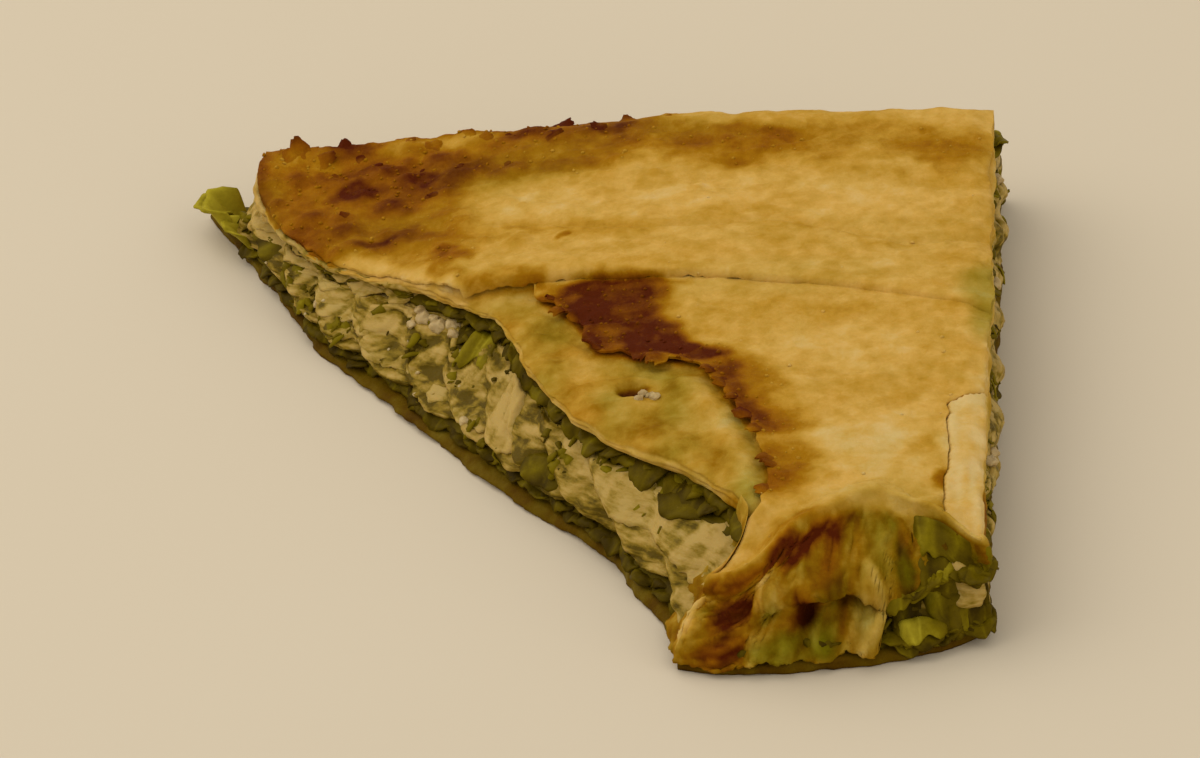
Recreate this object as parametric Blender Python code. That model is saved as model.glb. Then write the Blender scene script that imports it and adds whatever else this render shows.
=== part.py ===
"""Cut slice of tray borek: thin baked pastry over soft pastry and chopped greens.

The slice stands on its flat foot with the browned crust up, as it was cut from
the tray. Five layers lie on each other, and each is one closed solid that runs
through the slice: bottom pastry, lower greens, middle pastry, upper greens and
top pastry. Lengths are in millimetres until a mesh is made, then in metres.
+Z is up, +X runs along the back edge to the right cut side, +Y runs from the
tip to the back edge, and the origin is the middle of the foot.
"""

import math
import random
from collections import namedtuple
from functools import lru_cache

import bmesh
import bpy
from mathutils import Vector, noise
from mathutils.geometry import delaunay_2d_cdt

MM = 0.001

# Driving dimensions in millimetres
SLICE_WIDTH = 116.0
SLICE_DEPTH = 117.0
CRUST_HEIGHT = 16.5
LAYER_GAP = 0.36

# Spacing of the points: along the rim, between the rows of a face, and how far
# a face's inner points keep from the lines and the rim
RIM_STEP = 3.6
ROW_SHARE = 0.87
CLEAR_SHARE = 0.55
LINE_ROOM = 1.0
CORNER_ROOM = 12.0
CORNER_EASE = 0.2

RIGHT = SLICE_WIDTH / 2
LEFT = -RIGHT
BACK = SLICE_DEPTH / 2
FRONT = -BACK

# Rim of the slice, side by side and anticlockwise. Each station is a point of
# the foot and the point of the crust's edge above it.
TIP_SIDE = (
    ((17.0, -56.5), (21.5, -51.5)),
    ((25.0, FRONT), (29.0, -52.5)),
    ((42.0, FRONT + 1.0), (42.0, -41.5)),
    ((52.0, -54.0), (50.5, -44.5)),
    ((RIGHT - 0.5, -50.0), (RIGHT - 0.5, -50.5)),
)
RIGHT_SIDE = (
    TIP_SIDE[-1],
    ((RIGHT, 0.0), (RIGHT - 0.3, 0.0)),
    ((RIGHT - 0.5, BACK - 1.5), (RIGHT - 1.0, BACK - 3.0)),
)
BACK_SIDE = (
    RIGHT_SIDE[-1],
    ((10.0, BACK), (10.0, BACK - 1.0)),
    ((LEFT + 1.5, BACK), (-47.0, BACK - 2.0)),
)
CUT_SIDE = (
    BACK_SIDE[-1],
    ((-52.0, 49.0), (-47.5, 47.0)),
    ((-44.5, 36.0), (-40.5, 34.0)),
    ((-38.4, 22.5), (-31.5, 25.5)),
    ((-28.0, 9.5), (-20.5, 18.5)),
    ((-16.0, -6.5), (-10.0, 9.0)),
    ((-4.7, -19.5), (-4.5, -6.0)),
    ((4.6, -29.5), (5.5, -21.5)),
    ((10.4, -39.5), (18.0, -32.0)),
    ((15.0, -48.5), (26.5, -44.0)),
    TIP_SIDE[0],
)

# Crust's face: how far it sags at the left end, at the tip's left and right
LEFT_SAG = 5.2
LEFT_SAG_FROM = 22.0
LEFT_SAG_TO = -46.0
NOSE_SAG = 6.5
NOSE_REACH = 13.0
CORNER_SAG = 2.4
CORNER_REACH = 20.0

# Fold across the crust, where the back ply laps over the front one
FOLD_X = -10.0
FOLD_Y = 15.0
FOLD_BEND = 0.00274
FOLD_START = -20.0
FOLD_FADE_IN = (-28.0, -16.0)
FOLD_STEP = 1.3
FOLD_RIGHT_LOSS = 0.6
FOLD_RIGHT_FROM = 15.0
FOLD_BACK_LOSS = 0.75
FOLD_BACK_FADE = (2.0, 26.0)

# Tear in the front ply, with the lower ply bare between it and the cut
TEAR = ((-5.0, 12.5), (1.5, 3.5), (4.5, -3.5), (11.5, -6.0), (18.5, -9.0),
        (23.0, -17.5), (27.0, -26.0), (29.0, -36.0), (28.5, -43.0))
TEAR_STEP = 1.2
TEAR_LOSS = 0.5
TEAR_FADE = (2.0, 12.0)
STEP_WIDTH = 0.9

# Raised browned rims at the back left and at the tip, blisters, wrinkles, pit
BACK_RIM_Y = (38.0, 52.0)
BACK_RIM_X = (0.0, 25.0)
TIP_RIM_Y = (34.0, 46.0)
LIP_RISE = 0.9
LIP_WIDTH = (0.5, 5.0)
BLISTER_RISE = 1.1
BLISTER_LENGTH = 7.0
WRINKLE_RISE = 0.3
WRINKLE_LENGTH = 4.5
WRINKLE_STRETCH = 0.25
SWELL_RISE = 0.35
SWELL_LENGTH = 16.0
EDGE_FALL = 0.7
EDGE_WIDTH = 3.0
PIT = (9.5, -12.5)
PIT_RADIUS = 2.6
PIT_DEPTH = 1.3

# Interfaces between the layers, from the foot to the crust's face: the share
# of the slice's height below each, how far it waves and how far apart its points lie
SHARE = (0.0, 0.105, 0.225, 0.62, 0.79, 1.0)
WAVE = (0.0, 0.12, 0.2, 0.45, 0.35, 0.0)
PITCH = (SLICE_WIDTH, 12.0, 5.6, 5.6, 5.6, 3.3)
WAVE_LENGTH = 21.0
SPILL_SLOPE = 0.45
SPILL_SOFT = 3.0
SPILL_LEAST = 1.4
SPILL_GAP = 0.3
SPILLING = (3, 4)

# Layers from the foot up. Low and high are the set-back of the lower and upper
# rim, from the foot's line (0) to the crust's edge (1).
Layer = namedtuple("Layer", "name colour low high inset ragged bulge rows")
LAYERS = (
    Layer("bottom_pastry", (0.62, 0.44, 0.17), 0.0, 0.04, 0.0, 0.7, 0.35, 2),
    Layer("lower_greens", (0.20, 0.21, 0.05), 0.06, 0.12, 0.7, 0.9, 0.35, 2),
    Layer("middle_pastry", (0.74, 0.64, 0.36), 0.10, 0.62, 0.2, 0.7, 1.2, 5),
    Layer("upper_greens", (0.15, 0.17, 0.04), 0.9, 1.0, 1.3, 0.8, 0.35, 2),
    Layer("top_pastry", (0.72, 0.46, 0.13), 1.0, 1.0, 0.0, 0.5, 0.35, 3),
)
BOTTOM, LOWER, MIDDLE, UPPER, TOP = range(5)
SET_BACK_CURVE = 1.4
RAG_LENGTH = 9.0
FINE_RAG_LENGTH = 4.0
FINE_RAG = 0.6
TIP_SPILL = 0.8
TIP_SPILL_IN = (0.0, 0.4)
TIP_SPILL_OUT = (0.75, 1.0)
POINT_ROOM = (2.0, 13.0)
POINT_SET_BACK = 0.75

# Pleats that run slantwise up the middle pastry's side
PLEAT_DEPTH = 1.0
PLAIN_PLEAT_DEPTH = 0.5
PLEAT_LENGTH = 11.0
PLEAT_LEAN = 7.0
PLEAT_DRIFT_LENGTH = 20.0

# Leaves that stick out of the greens: size, share of the widest place along
# a leaf, and how many on each stretch of the rim with how far they reach
LEAF_THICKNESS = 0.75
LEAF_ROOT = 3.5
LEAF_WIDTH = (4.0, 7.5)
LEAF_TURN = 0.6
LEAF_SWELL = (0.28, 0.94)
LEAF_CURL = 0.1
CUT_LEAVES = 11
CUT_REACH = 2.2
TIP_LEAVES = 5
TIP_REACH = 2.6
RIGHT_LEAVES = 5
RIGHT_REACH = 1.6
FOOT_LEAVES = 9
FOOT_REACH = 1.4
TIP_FOOT_LEAVES = 3
POINT_LEAF_REACH = 3.9
POINT_LEAF_WIDTH = 5.2
POINT_LEAF_TURN = -0.55
POINT_LEAF_RISE = 2.2

# Crumbs of the filling on the side of the middle pastry
CRUMBS = 8
CRUMB_STRETCH = (0.4, 0.6)
CRUMB_OUT = (0.2, 1.4)
CRUMB_RADIUS = 1.6
CRUMB_FLATNESS = 0.75

# Flakes of the crust: one sharp chip, some on the browned rim, some on the tear
FLAKE_THICKNESS = 0.6
FLAKE_TAPER = 0.75
CHIP = {"x": -41.5, "y": BACK - 4.0, "heading": 2.0, "length": 2.6, "width": 2.2, "rise": 3.4}
RIM_FLAKES = 5
RIM_FLAKE_X = (-36.0, 4.0)
RIM_FLAKE_INSET = (6.0, 9.0)
TEAR_FLAKES = 4
TEAR_FLAKE_INSET = 1.2
SEED = 12

ROUGHNESS = 0.55


def smooth(low, high, value):
    """Rise from 0 at low to 1 at high, with level ends."""
    part = min(max((value - low) / (high - low), 0.0), 1.0)
    return part * part * (3.0 - 2.0 * part)


def mix(low, high, part):
    return low + (high - low) * part


def ripple(x, y, seed, length):
    """Gentle unevenness between about -1 and 1 that repeats on every run."""
    return noise.noise(Vector((x / length, y / length, seed)))


def clear_scene():
    for item in list(bpy.data.objects):
        bpy.data.objects.remove(item, do_unlink=True)


def new_collection(name):
    collection = bpy.data.collections.new(name)
    bpy.context.scene.collection.children.link(collection)
    return collection


def curve_point(points, index, part):
    """Point on the smooth curve through the points, part way past one of them."""
    before = points[max(index - 1, 0)]
    start = points[index]
    end = points[index + 1]
    after = points[min(index + 2, len(points) - 1)]
    square = part * part
    cube = square * part
    return tuple(
        0.5 * (2 * b + (c - a) * part + (2 * a - 5 * b + 4 * c - d) * square
               + (3 * b - a - 3 * c + d) * cube)
        for a, b, c, d in zip(before, start, end, after))


def side_stations(side):
    """Stations of one side about RIM_STEP apart, the last one left to the next side."""
    points = [foot + edge for foot, edge in side]
    found = []
    for index in range(len(points) - 1):
        length = math.dist(points[index][:2], points[index + 1][:2])
        count = max(round(length / RIM_STEP), 1)
        found += [curve_point(points, index, step / count) for step in range(count)]
    return found


def rim_normals(stations, corners):
    """Outward direction at each station, shorter near a corner so no side crosses another."""
    normals = []
    for index, here in enumerate(stations):
        before = stations[index - 1]
        after = stations[(index + 1) % len(stations)]
        along = Vector((after[0] - before[0], after[1] - before[1])).normalized()
        near = min(math.dist(here[:2], corner) for corner in corners)
        normals.append(Vector((along.y, -along.x)) * mix(CORNER_EASE, 1.0, smooth(0.0, CORNER_ROOM, near)))
    return normals


SIDES = [side_stations(side) for side in (TIP_SIDE, RIGHT_SIDE, BACK_SIDE, CUT_SIDE)]
STATIONS = [station for side in SIDES for station in side]
NORMALS = rim_normals(STATIONS, [side[0][:2] for side in SIDES])
TIP_COUNT, RIGHT_COUNT, BACK_COUNT, CUT_COUNT = (len(side) for side in SIDES)
CUT_FIRST = TIP_COUNT + RIGHT_COUNT + BACK_COUNT
EDGE = [Vector(station[2:]) for station in STATIONS]


def segment_distance(point, start, end):
    """Distance to a segment, how far along it the nearest point is, and the side."""
    run = end - start
    part = min(max((point - start).dot(run) / run.length_squared, 0.0), 1.0)
    apart = point - (start + run * part)
    return apart.length, part, run.cross(point - start)


@lru_cache(maxsize=None)
def outside_edge(x, y):
    """How far a point lies outside the crust's edge, 0 for one inside it."""
    point = Vector((x, y))
    inside = False
    nearest = math.inf
    for index, start in enumerate(EDGE):
        end = EDGE[(index + 1) % len(EDGE)]
        if (start.y > y) != (end.y > y):
            crossing = start.x + (y - start.y) * (end.x - start.x) / (end.y - start.y)
            inside ^= x < crossing
        nearest = min(nearest, segment_distance(point, start, end)[0])
    return 0.0 if inside else nearest


@lru_cache(maxsize=None)
def edge_depth(x, y):
    """Distance to the crust's edge, whichever side of it the point is on."""
    point = Vector((x, y))
    return min(segment_distance(point, start, EDGE[(index + 1) % len(EDGE)])[0]
               for index, start in enumerate(EDGE))


def slice_height(x, y):
    """Height of the crust without its relief: the left end and the tip sag."""
    height = CRUST_HEIGHT - LEFT_SAG * smooth(-LEFT_SAG_FROM, -LEFT_SAG_TO, -x)
    nose = math.dist((x, y), TIP_SIDE[0][1])
    corner = math.dist((x, y), TIP_SIDE[-1][1])
    height -= NOSE_SAG * (1.0 - smooth(0.0, NOSE_REACH, nose))
    return height - CORNER_SAG * (1.0 - smooth(0.0, CORNER_REACH, corner))


def fold_line(x):
    """Where the back ply ends: a slightly bent line across the crust."""
    return FOLD_Y - FOLD_BEND * (x - FOLD_X) ** 2


def tear_offset(x, y):
    """Signed distance to the torn edge, positive on the lower ply's side."""
    point = Vector((x, y))
    found = min((segment_distance(point, Vector(start), Vector(end))
                 for start, end in zip(TEAR, TEAR[1:])), key=lambda item: item[0])
    return math.copysign(found[0], -found[2])


def ply_steps(x, y):
    """Rise of the back ply over the front one, less the drop to the torn lower ply."""
    past_fold = y - fold_line(x)
    torn = tear_offset(x, y)
    fade_in = smooth(*FOLD_FADE_IN, x)
    behind = smooth(-STEP_WIDTH / 2, STEP_WIDTH / 2, past_fold)
    lap = FOLD_STEP * fade_in * (1.0 - FOLD_RIGHT_LOSS * smooth(FOLD_RIGHT_FROM, RIGHT, x))
    lap *= 1.0 - FOLD_BACK_LOSS * smooth(*FOLD_BACK_FADE, past_fold)
    drop = TEAR_STEP * fade_in * smooth(-STEP_WIDTH / 2, STEP_WIDTH / 2, torn)
    drop *= 1.0 - TEAR_LOSS * smooth(*TEAR_FADE, torn)
    return mix(-drop, lap, behind)


def crust_relief(x, y):
    """Plies, rims, wrinkles, blisters and the pit that stand out on the crust's face."""
    depth = edge_depth(x, y)
    back_left = smooth(*BACK_RIM_Y, y) * smooth(*BACK_RIM_X, -x)
    browned = max(smooth(*TIP_RIM_Y, -y), back_left)
    relief = ply_steps(x, y)
    relief += LIP_RISE * (1.0 - smooth(*LIP_WIDTH, depth)) * browned
    relief += BLISTER_RISE * back_left * max(ripple(x, y, 3.1, BLISTER_LENGTH), 0.0)
    relief += WRINKLE_RISE * ripple(x * WRINKLE_STRETCH, y, 8.7, WRINKLE_LENGTH)
    relief += SWELL_RISE * ripple(x, y, 5.2, SWELL_LENGTH)
    relief -= PIT_DEPTH * (1.0 - smooth(PIT_RADIUS / 3, PIT_RADIUS, math.dist((x, y), PIT)))
    return relief - EDGE_FALL * (1.0 - smooth(0.0, EDGE_WIDTH, depth)) * (1.0 - browned)


def interface(index, x, y):
    """Height of the surface between two layers, counted from the foot."""
    height = SHARE[index] * slice_height(x, y)
    height += WAVE[index] * ripple(x, y, 2.3 * index, WAVE_LENGTH)
    if index in SPILLING:
        out = outside_edge(x, y)
        height -= SPILL_SLOPE * out * out / (out + SPILL_SOFT)
        least = SPILL_LEAST * (index - LOWER - 1)
        height = max(height, interface(LOWER + 1, x, y) + least)
    if index == TOP + 1:
        height += crust_relief(x, y)
    return height


def layer_height(layer, part, x, y):
    """Height inside a layer, part of the way from its lower to its upper face."""
    low = interface(layer, x, y) + (LAYER_GAP / 2 if layer > BOTTOM else 0.0)
    high = interface(layer + 1, x, y) - (LAYER_GAP / 2 if layer < TOP else 0.0)
    if layer == UPPER:
        low += SPILL_GAP * smooth(0.0, SPILL_SOFT, outside_edge(x, y))
    return mix(low, high, part)


def set_back(layer, index, part):
    """Share of the way from the foot's line to the crust's edge at one station."""
    back = mix(LAYERS[layer].low, LAYERS[layer].high, part ** SET_BACK_CURVE)
    if layer in (MIDDLE, UPPER):
        near = math.dist(STATIONS[index][:2], BACK_SIDE[-1][0])
        back = mix(back, 1.0, POINT_SET_BACK * (1.0 - smooth(*POINT_ROOM, near)))
    if layer == UPPER:
        along = index / TIP_COUNT
        back -= TIP_SPILL * smooth(*TIP_SPILL_IN, along) * (1.0 - smooth(*TIP_SPILL_OUT, along))
    return back


def pleat(index, part, x, y):
    """Inward depth of the slanting pleats, shallower on the right and the back."""
    turn = index * RIM_STEP / PLEAT_LENGTH + part * CRUST_HEIGHT / 2 / PLEAT_LEAN
    depth = PLEAT_DEPTH if index > CUT_FIRST or index < TIP_COUNT else PLAIN_PLEAT_DEPTH
    return depth * (1.0 - math.sin(math.tau * turn + 2.0 * ripple(x, y, 6.6, PLEAT_DRIFT_LENGTH)))


def rim_point(layer, index, part):
    """Point of a layer's ragged side above one station."""
    settings = LAYERS[layer]
    foot_x, foot_y, edge_x, edge_y = STATIONS[index]
    back = set_back(layer, index, part)
    x = mix(foot_x, edge_x, back)
    y = mix(foot_y, edge_y, back)
    rag = ripple(x, y, 4.0 * layer + part, RAG_LENGTH)
    rag += FINE_RAG * ripple(x, y, 9.0 + layer - part, FINE_RAG_LENGTH)
    out = settings.ragged * (rag - 1.0) + settings.bulge * math.sin(math.pi * part) - settings.inset
    if layer == MIDDLE:
        out -= pleat(index, part, x, y)
    return x + NORMALS[index].x * out, y + NORMALS[index].y * out


def room(point, loops):
    """Distance from a point to the loop of segments around it, 0 for a point outside."""
    x, y = point
    crossings = sum((a.y > y) != (b.y > y) and x < a.x + (y - a.y) * (b.x - a.x) / (b.y - a.y)
                    for a, b in loops)
    if crossings % 2 == 0:
        return 0.0
    return min(segment_distance(point, a, b)[0] for a, b in loops)


def inner_points(loops, pitch, lines):
    """Points of a triangular grid well inside an outline and clear of its lines."""
    found = []
    strokes = [pair for line in lines for pair in zip(line, line[1:])]
    for row in range(int(SLICE_DEPTH / (pitch * ROW_SHARE)) + 2):
        for column in range(int(SLICE_WIDTH / pitch) + 2):
            point = Vector((LEFT + (column + 0.5 * (row % 2)) * pitch, FRONT + row * pitch * ROW_SHARE))
            if room(point, loops) < CLEAR_SHARE * pitch:
                continue
            if any(segment_distance(point, a, b)[0] < CLEAR_SHARE * pitch for a, b in strokes):
                continue
            found.append(point)
    return found


def fill_ring(body, ring, layer, part, pitch, lines=()):
    """Close a ring of vertices with triangles that follow the layer's face."""
    outline = [vertex.co.xy for vertex in ring]
    loops = [(outline[i - 1], outline[i]) for i in range(len(outline))]
    strokes = [[point for point in line if room(point, loops) > LINE_ROOM] for line in lines]
    points = outline + inner_points(loops, pitch, strokes)
    edges = []
    for line in strokes:
        first = len(points)
        points += line
        edges += [(first + i, first + i + 1) for i in range(len(line) - 1)]
    found, _, faces, origin, _, _ = delaunay_2d_cdt(points, edges, [list(range(len(outline)))], 1, 1e-4)
    vertices = []
    for point, sources in zip(found, origin):
        if sources and sources[0] < len(ring):
            vertices.append(ring[sources[0]])
        else:
            height = layer_height(layer, part, point.x, point.y)
            vertices.append(body.verts.new((point.x, point.y, height)))
    for face in faces:
        body.faces.new([vertices[i] for i in face])


def crust_lines():
    """Pairs of lines along the fold and the tear, so their steps stay sharp."""
    half = STEP_WIDTH / 2
    lines = []
    for offset in (-half, half):
        count = int((RIGHT - 3.0 - FOLD_START) / RIM_STEP)
        xs = [mix(FOLD_START, RIGHT - 3.0, i / count) for i in range(count + 1)]
        lines.append([Vector((x, fold_line(x) + offset)) for x in xs])
    path = [Vector(curve_point(TEAR, i, step / 3)) for i in range(len(TEAR) - 1) for step in range(3)]
    for offset in (-half, half):
        line = []
        for before, here, after in zip(path, path[1:], path[2:]):
            along = (after - before).normalized()
            line.append(here + Vector((along.y, -along.x)) * offset)
        lines.append([point for point in line if point.y < fold_line(point.x) - 2 * STEP_WIDTH])
    return lines


def make_body(layer):
    """One layer as a closed solid: two faces and a ragged side between them."""
    rows = LAYERS[layer].rows
    body = bmesh.new()
    rings = []
    for row in range(rows + 1):
        part = row / rows
        outline = [rim_point(layer, index, part) for index in range(len(STATIONS))]
        rings.append([body.verts.new((x, y, layer_height(layer, part, x, y))) for x, y in outline])
    for lower, upper in zip(rings, rings[1:]):
        for i in range(len(lower)):
            body.faces.new((lower[i - 1], lower[i], upper[i], upper[i - 1]))
    for ring, part, surface in ((rings[0], 0.0, layer), (rings[-1], 1.0, layer + 1)):
        lines = {UPPER: [EDGE[:TIP_COUNT + 1]], TOP + 1: crust_lines()}.get(surface, ())
        fill_ring(body, ring, layer, part, PITCH[surface], lines)
    bmesh.ops.triangulate(body, faces=body.faces[:])
    bmesh.ops.recalc_face_normals(body, faces=body.faces[:])
    return body


def store(name, body, collection):
    """Store a body, now in metres, as an object of a collection."""
    bmesh.ops.scale(body, vec=(MM, MM, MM), verts=body.verts[:])
    mesh = bpy.data.meshes.new(name)
    body.to_mesh(mesh)
    body.free()
    item = bpy.data.objects.new(name, mesh)
    collection.objects.link(item)
    return item


def thin_solid(grid, thickness):
    """Closed thin piece round a grid of middle points, both faces split alike."""
    body = bmesh.new()
    faces = []
    for sign in (-0.5, 0.5):
        faces.append([[body.verts.new((x, y, z + sign * thickness)) for x, y, z in row] for row in grid])
    lower, upper = faces
    rows = len(grid) - 1
    columns = len(grid[0]) - 1
    for i in range(rows):
        for j in range(columns):
            for face, turned in ((lower, True), (upper, False)):
                a, b, c, d = face[i][j], face[i + 1][j], face[i + 1][j + 1], face[i][j + 1]
                for corners in ((a, b, c), (a, c, d)):
                    body.faces.new(corners[::-1] if turned else corners)
    rim = [(i, 0) for i in range(rows)] + [(rows, j) for j in range(columns)]
    rim += [(i, columns) for i in range(rows, 0, -1)] + [(0, j) for j in range(columns, 0, -1)]
    for index, (i, j) in enumerate(rim):
        m, n = rim[(index + 1) % len(rim)]
        body.faces.new((lower[i][j], lower[m][n], upper[m][n]))
        body.faces.new((lower[i][j], upper[m][n], upper[i][j]))
    bmesh.ops.recalc_face_normals(body, faces=body.faces[:])
    return body


def turned(direction, angle):
    """A flat direction turned anticlockwise."""
    across = Vector((-direction.y, direction.x))
    return direction * math.cos(angle) + across * math.sin(angle)


def leaf(layer, index, reach, width, turn, rise=0.0):
    """Leaf that sticks out of a greens layer's side above one station."""
    outward = NORMALS[index].normalized()
    root = Vector(rim_point(layer, index, 0.5)) - outward * LEAF_ROOT
    ahead = turned(outward, turn)
    across = turned(ahead, math.pi / 2)
    grid = []
    for i in range(5):
        along = i / 4
        half = width / 2 * math.sin(math.pi * mix(*LEAF_SWELL, along))
        row = []
        for j in range(4):
            side = j / 1.5 - 1.0
            spot = root + ahead * ((LEAF_ROOT + reach) * along) + across * (half * side)
            part = 0.5 + LEAF_CURL * math.sin(2.6 * along + 1.9 * side + index)
            height = layer_height(layer, part, spot.x, spot.y)
            row.append((spot.x, spot.y, height + rise * smooth(0.35, 1.0, along)))
        grid.append(row)
    return thin_solid(grid, LEAF_THICKNESS)


def leaves_along(layer, first, count, pieces, reach, draw):
    """Leaves of uneven size, spread evenly over a stretch of the rim."""
    found = []
    for number in range(pieces):
        index = first + int((number + draw.uniform(0.3, 0.7)) * count / pieces)
        index %= len(STATIONS)
        found.append(leaf(layer, index, reach * draw.uniform(0.6, 1.3), draw.uniform(*LEAF_WIDTH),
                          draw.uniform(-LEAF_TURN, LEAF_TURN)))
    return found


def point_leaf():
    """Leaf at the slice's left point, which curls up beside the crust."""
    return leaf(LOWER, CUT_FIRST + 2, POINT_LEAF_REACH, POINT_LEAF_WIDTH, POINT_LEAF_TURN,
                POINT_LEAF_RISE)


def crumb(index, out, draw):
    """Lump of filling just outside the ledge that the crust leaves free."""
    outward = NORMALS[index].normalized()
    spot = Vector(rim_point(MIDDLE, index, 1.0)) + outward * out
    height = layer_height(MIDDLE, 0.85, spot.x, spot.y)
    radius = CRUMB_RADIUS * draw.uniform(0.75, 1.25)
    body = bmesh.new()
    bmesh.ops.create_icosphere(body, subdivisions=1, radius=radius)
    for vertex in body.verts:
        vertex.co *= 1.0 + 0.3 * noise.noise(vertex.co * 0.9 + Vector((index, 0.0, 0.0)))
        vertex.co.z *= CRUMB_FLATNESS
        vertex.co += Vector((spot.x, spot.y, height + 0.2 * radius))
    return body


def flake(x, y, heading, length, width, rise):
    """Chip of dry pastry that lifts off the crust's face."""
    ahead = Vector((math.cos(heading), math.sin(heading)))
    across = turned(ahead, math.pi / 2)
    root = Vector((x, y))
    foot = layer_height(TOP, 1.0, x, y) - FLAKE_THICKNESS
    grid = []
    for i in range(4):
        along = i / 3
        half = width / 2 * (1.0 - FLAKE_TAPER * along * along)
        row = []
        for j in range(3):
            spot = root + ahead * (length * along) + across * (half * (j - 1))
            row.append((spot.x, spot.y, foot + rise * along ** 1.5 + 0.2 * math.sin(3.0 * along + 2.0 * j)))
        grid.append(row)
    return thin_solid(grid, FLAKE_THICKNESS)


def crust_flakes(draw):
    """Flakes on the browned rim, along the torn ply and one sharp chip at the left."""
    found = [flake(**CHIP)]
    for number in range(RIM_FLAKES):
        x = mix(*RIM_FLAKE_X, number / (RIM_FLAKES - 1)) + draw.uniform(-2.0, 2.0)
        y = BACK - draw.uniform(*RIM_FLAKE_INSET)
        found.append(flake(x, y, draw.uniform(0.6, 2.4), length=4.0, width=3.6, rise=1.5))
    for number in range(TEAR_FLAKES):
        start = Vector(TEAR[2 * number])
        end = Vector(TEAR[2 * number + 1])
        inward = turned((end - start).normalized(), math.pi / 2)
        spot = start.lerp(end, 0.5) + inward * TEAR_FLAKE_INSET
        heading = math.atan2(-inward.y, -inward.x)
        found.append(flake(spot.x, spot.y, heading, length=3.6, width=4.5, rise=0.9))
    return found


def filling_crumbs(draw):
    """Crumbs of the filling along the widest part of the cut's ledge."""
    found = []
    for number in range(CRUMBS):
        along = mix(*CRUMB_STRETCH, number / (CRUMBS - 1))
        found.append(crumb(CUT_FIRST + int(CUT_COUNT * along), draw.uniform(*CRUMB_OUT), draw))
    return found


def pieces_of(layer):
    """Pieces that stand out of one layer's cut side."""
    draw = random.Random(SEED + layer)
    found = []
    if layer == LOWER:
        found += leaves_along(LOWER, CUT_FIRST + 4, CUT_COUNT - 4, FOOT_LEAVES, FOOT_REACH, draw)
        found += leaves_along(LOWER, 1, TIP_COUNT, TIP_FOOT_LEAVES, FOOT_REACH, draw)
        found.append(point_leaf())
    if layer == MIDDLE:
        found += filling_crumbs(draw)
    if layer == UPPER:
        found += leaves_along(UPPER, CUT_FIRST + 3, CUT_COUNT - 3, CUT_LEAVES, CUT_REACH, draw)
        found += leaves_along(UPPER, 1, TIP_COUNT, TIP_LEAVES, TIP_REACH, draw)
        found += leaves_along(UPPER, TIP_COUNT, RIGHT_COUNT, RIGHT_LEAVES, RIGHT_REACH, draw)
    if layer == TOP:
        found += crust_flakes(draw)
    return found


def fuse(item, pieces):
    """Join pieces onto a layer with one Boolean, then drop them."""
    extras = new_collection("fused_pieces")
    for number, body in enumerate(pieces):
        piece = store(f"piece_{number}", body, extras)
        piece.hide_render = True
        piece.display_type = "WIRE"
    joint = item.modifiers.new("fuse", "BOOLEAN")
    joint.operation = "UNION"
    joint.operand_type = "COLLECTION"
    joint.collection = extras
    joint.solver = "EXACT"
    evaluated = item.evaluated_get(bpy.context.evaluated_depsgraph_get())
    mesh = bpy.data.meshes.new_from_object(evaluated)
    item.modifiers.clear()
    item.data = mesh
    for piece in list(extras.objects):
        bpy.data.objects.remove(piece, do_unlink=True)
    bpy.data.collections.remove(extras)


def colour_layer(item, colour):
    material = bpy.data.materials.new(item.name)
    material.use_nodes = True
    shader = material.node_tree.nodes["Principled BSDF"]
    shader.inputs["Base Color"].default_value = (*colour, 1.0)
    shader.inputs["Roughness"].default_value = ROUGHNESS
    shader.inputs["Metallic"].default_value = 0.0
    item.data.materials.clear()
    item.data.materials.append(material)


def main():
    clear_scene()
    collection = new_collection("borek_slice")
    for layer, settings in enumerate(LAYERS):
        item = store(settings.name, make_body(layer), collection)
        pieces = pieces_of(layer)
        if pieces:
            fuse(item, pieces)
        colour_layer(item, settings.colour)


main()
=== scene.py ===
"""Looks of one cut slice of tray borek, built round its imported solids.

Every layer of the slice is made again at a fine scale over the solid that it
stands for: a browned crust of thin plies, dark cooked greens, soft dough folded
to and fro, bits of white cheese and a toasted base. Shapes are worked out in
millimetres and stored in metres.
"""

import math
import random
from collections import namedtuple

import bmesh
import bpy
import numpy as np
from mathutils import Matrix, Vector, noise
from mathutils.geometry import delaunay_2d_cdt


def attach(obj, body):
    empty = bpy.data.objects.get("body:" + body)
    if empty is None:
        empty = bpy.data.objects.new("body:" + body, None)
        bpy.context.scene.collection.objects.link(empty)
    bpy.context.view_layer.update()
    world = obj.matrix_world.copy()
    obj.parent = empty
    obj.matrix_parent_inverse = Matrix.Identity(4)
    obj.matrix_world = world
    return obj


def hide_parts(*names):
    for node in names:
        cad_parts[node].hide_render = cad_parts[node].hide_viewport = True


bl_info = {
    "name": "Borek slice",
    "version": (1, 0, 0),
    "blender": (4, 5, 0),
    "location": "3D View > Sidebar > Borek",
    "description": "Builds a cut slice of tray borek over its packed solids",
    "category": "Object",
}

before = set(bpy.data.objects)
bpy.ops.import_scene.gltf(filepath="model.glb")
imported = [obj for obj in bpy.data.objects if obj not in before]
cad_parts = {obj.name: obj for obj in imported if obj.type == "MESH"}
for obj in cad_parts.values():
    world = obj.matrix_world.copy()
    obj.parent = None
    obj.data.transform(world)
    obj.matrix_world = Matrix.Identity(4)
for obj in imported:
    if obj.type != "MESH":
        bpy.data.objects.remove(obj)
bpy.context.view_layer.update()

MM = 0.001
SQUARE_METRE = 1e6
SHARP_ANGLE = math.radians(60)

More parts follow.
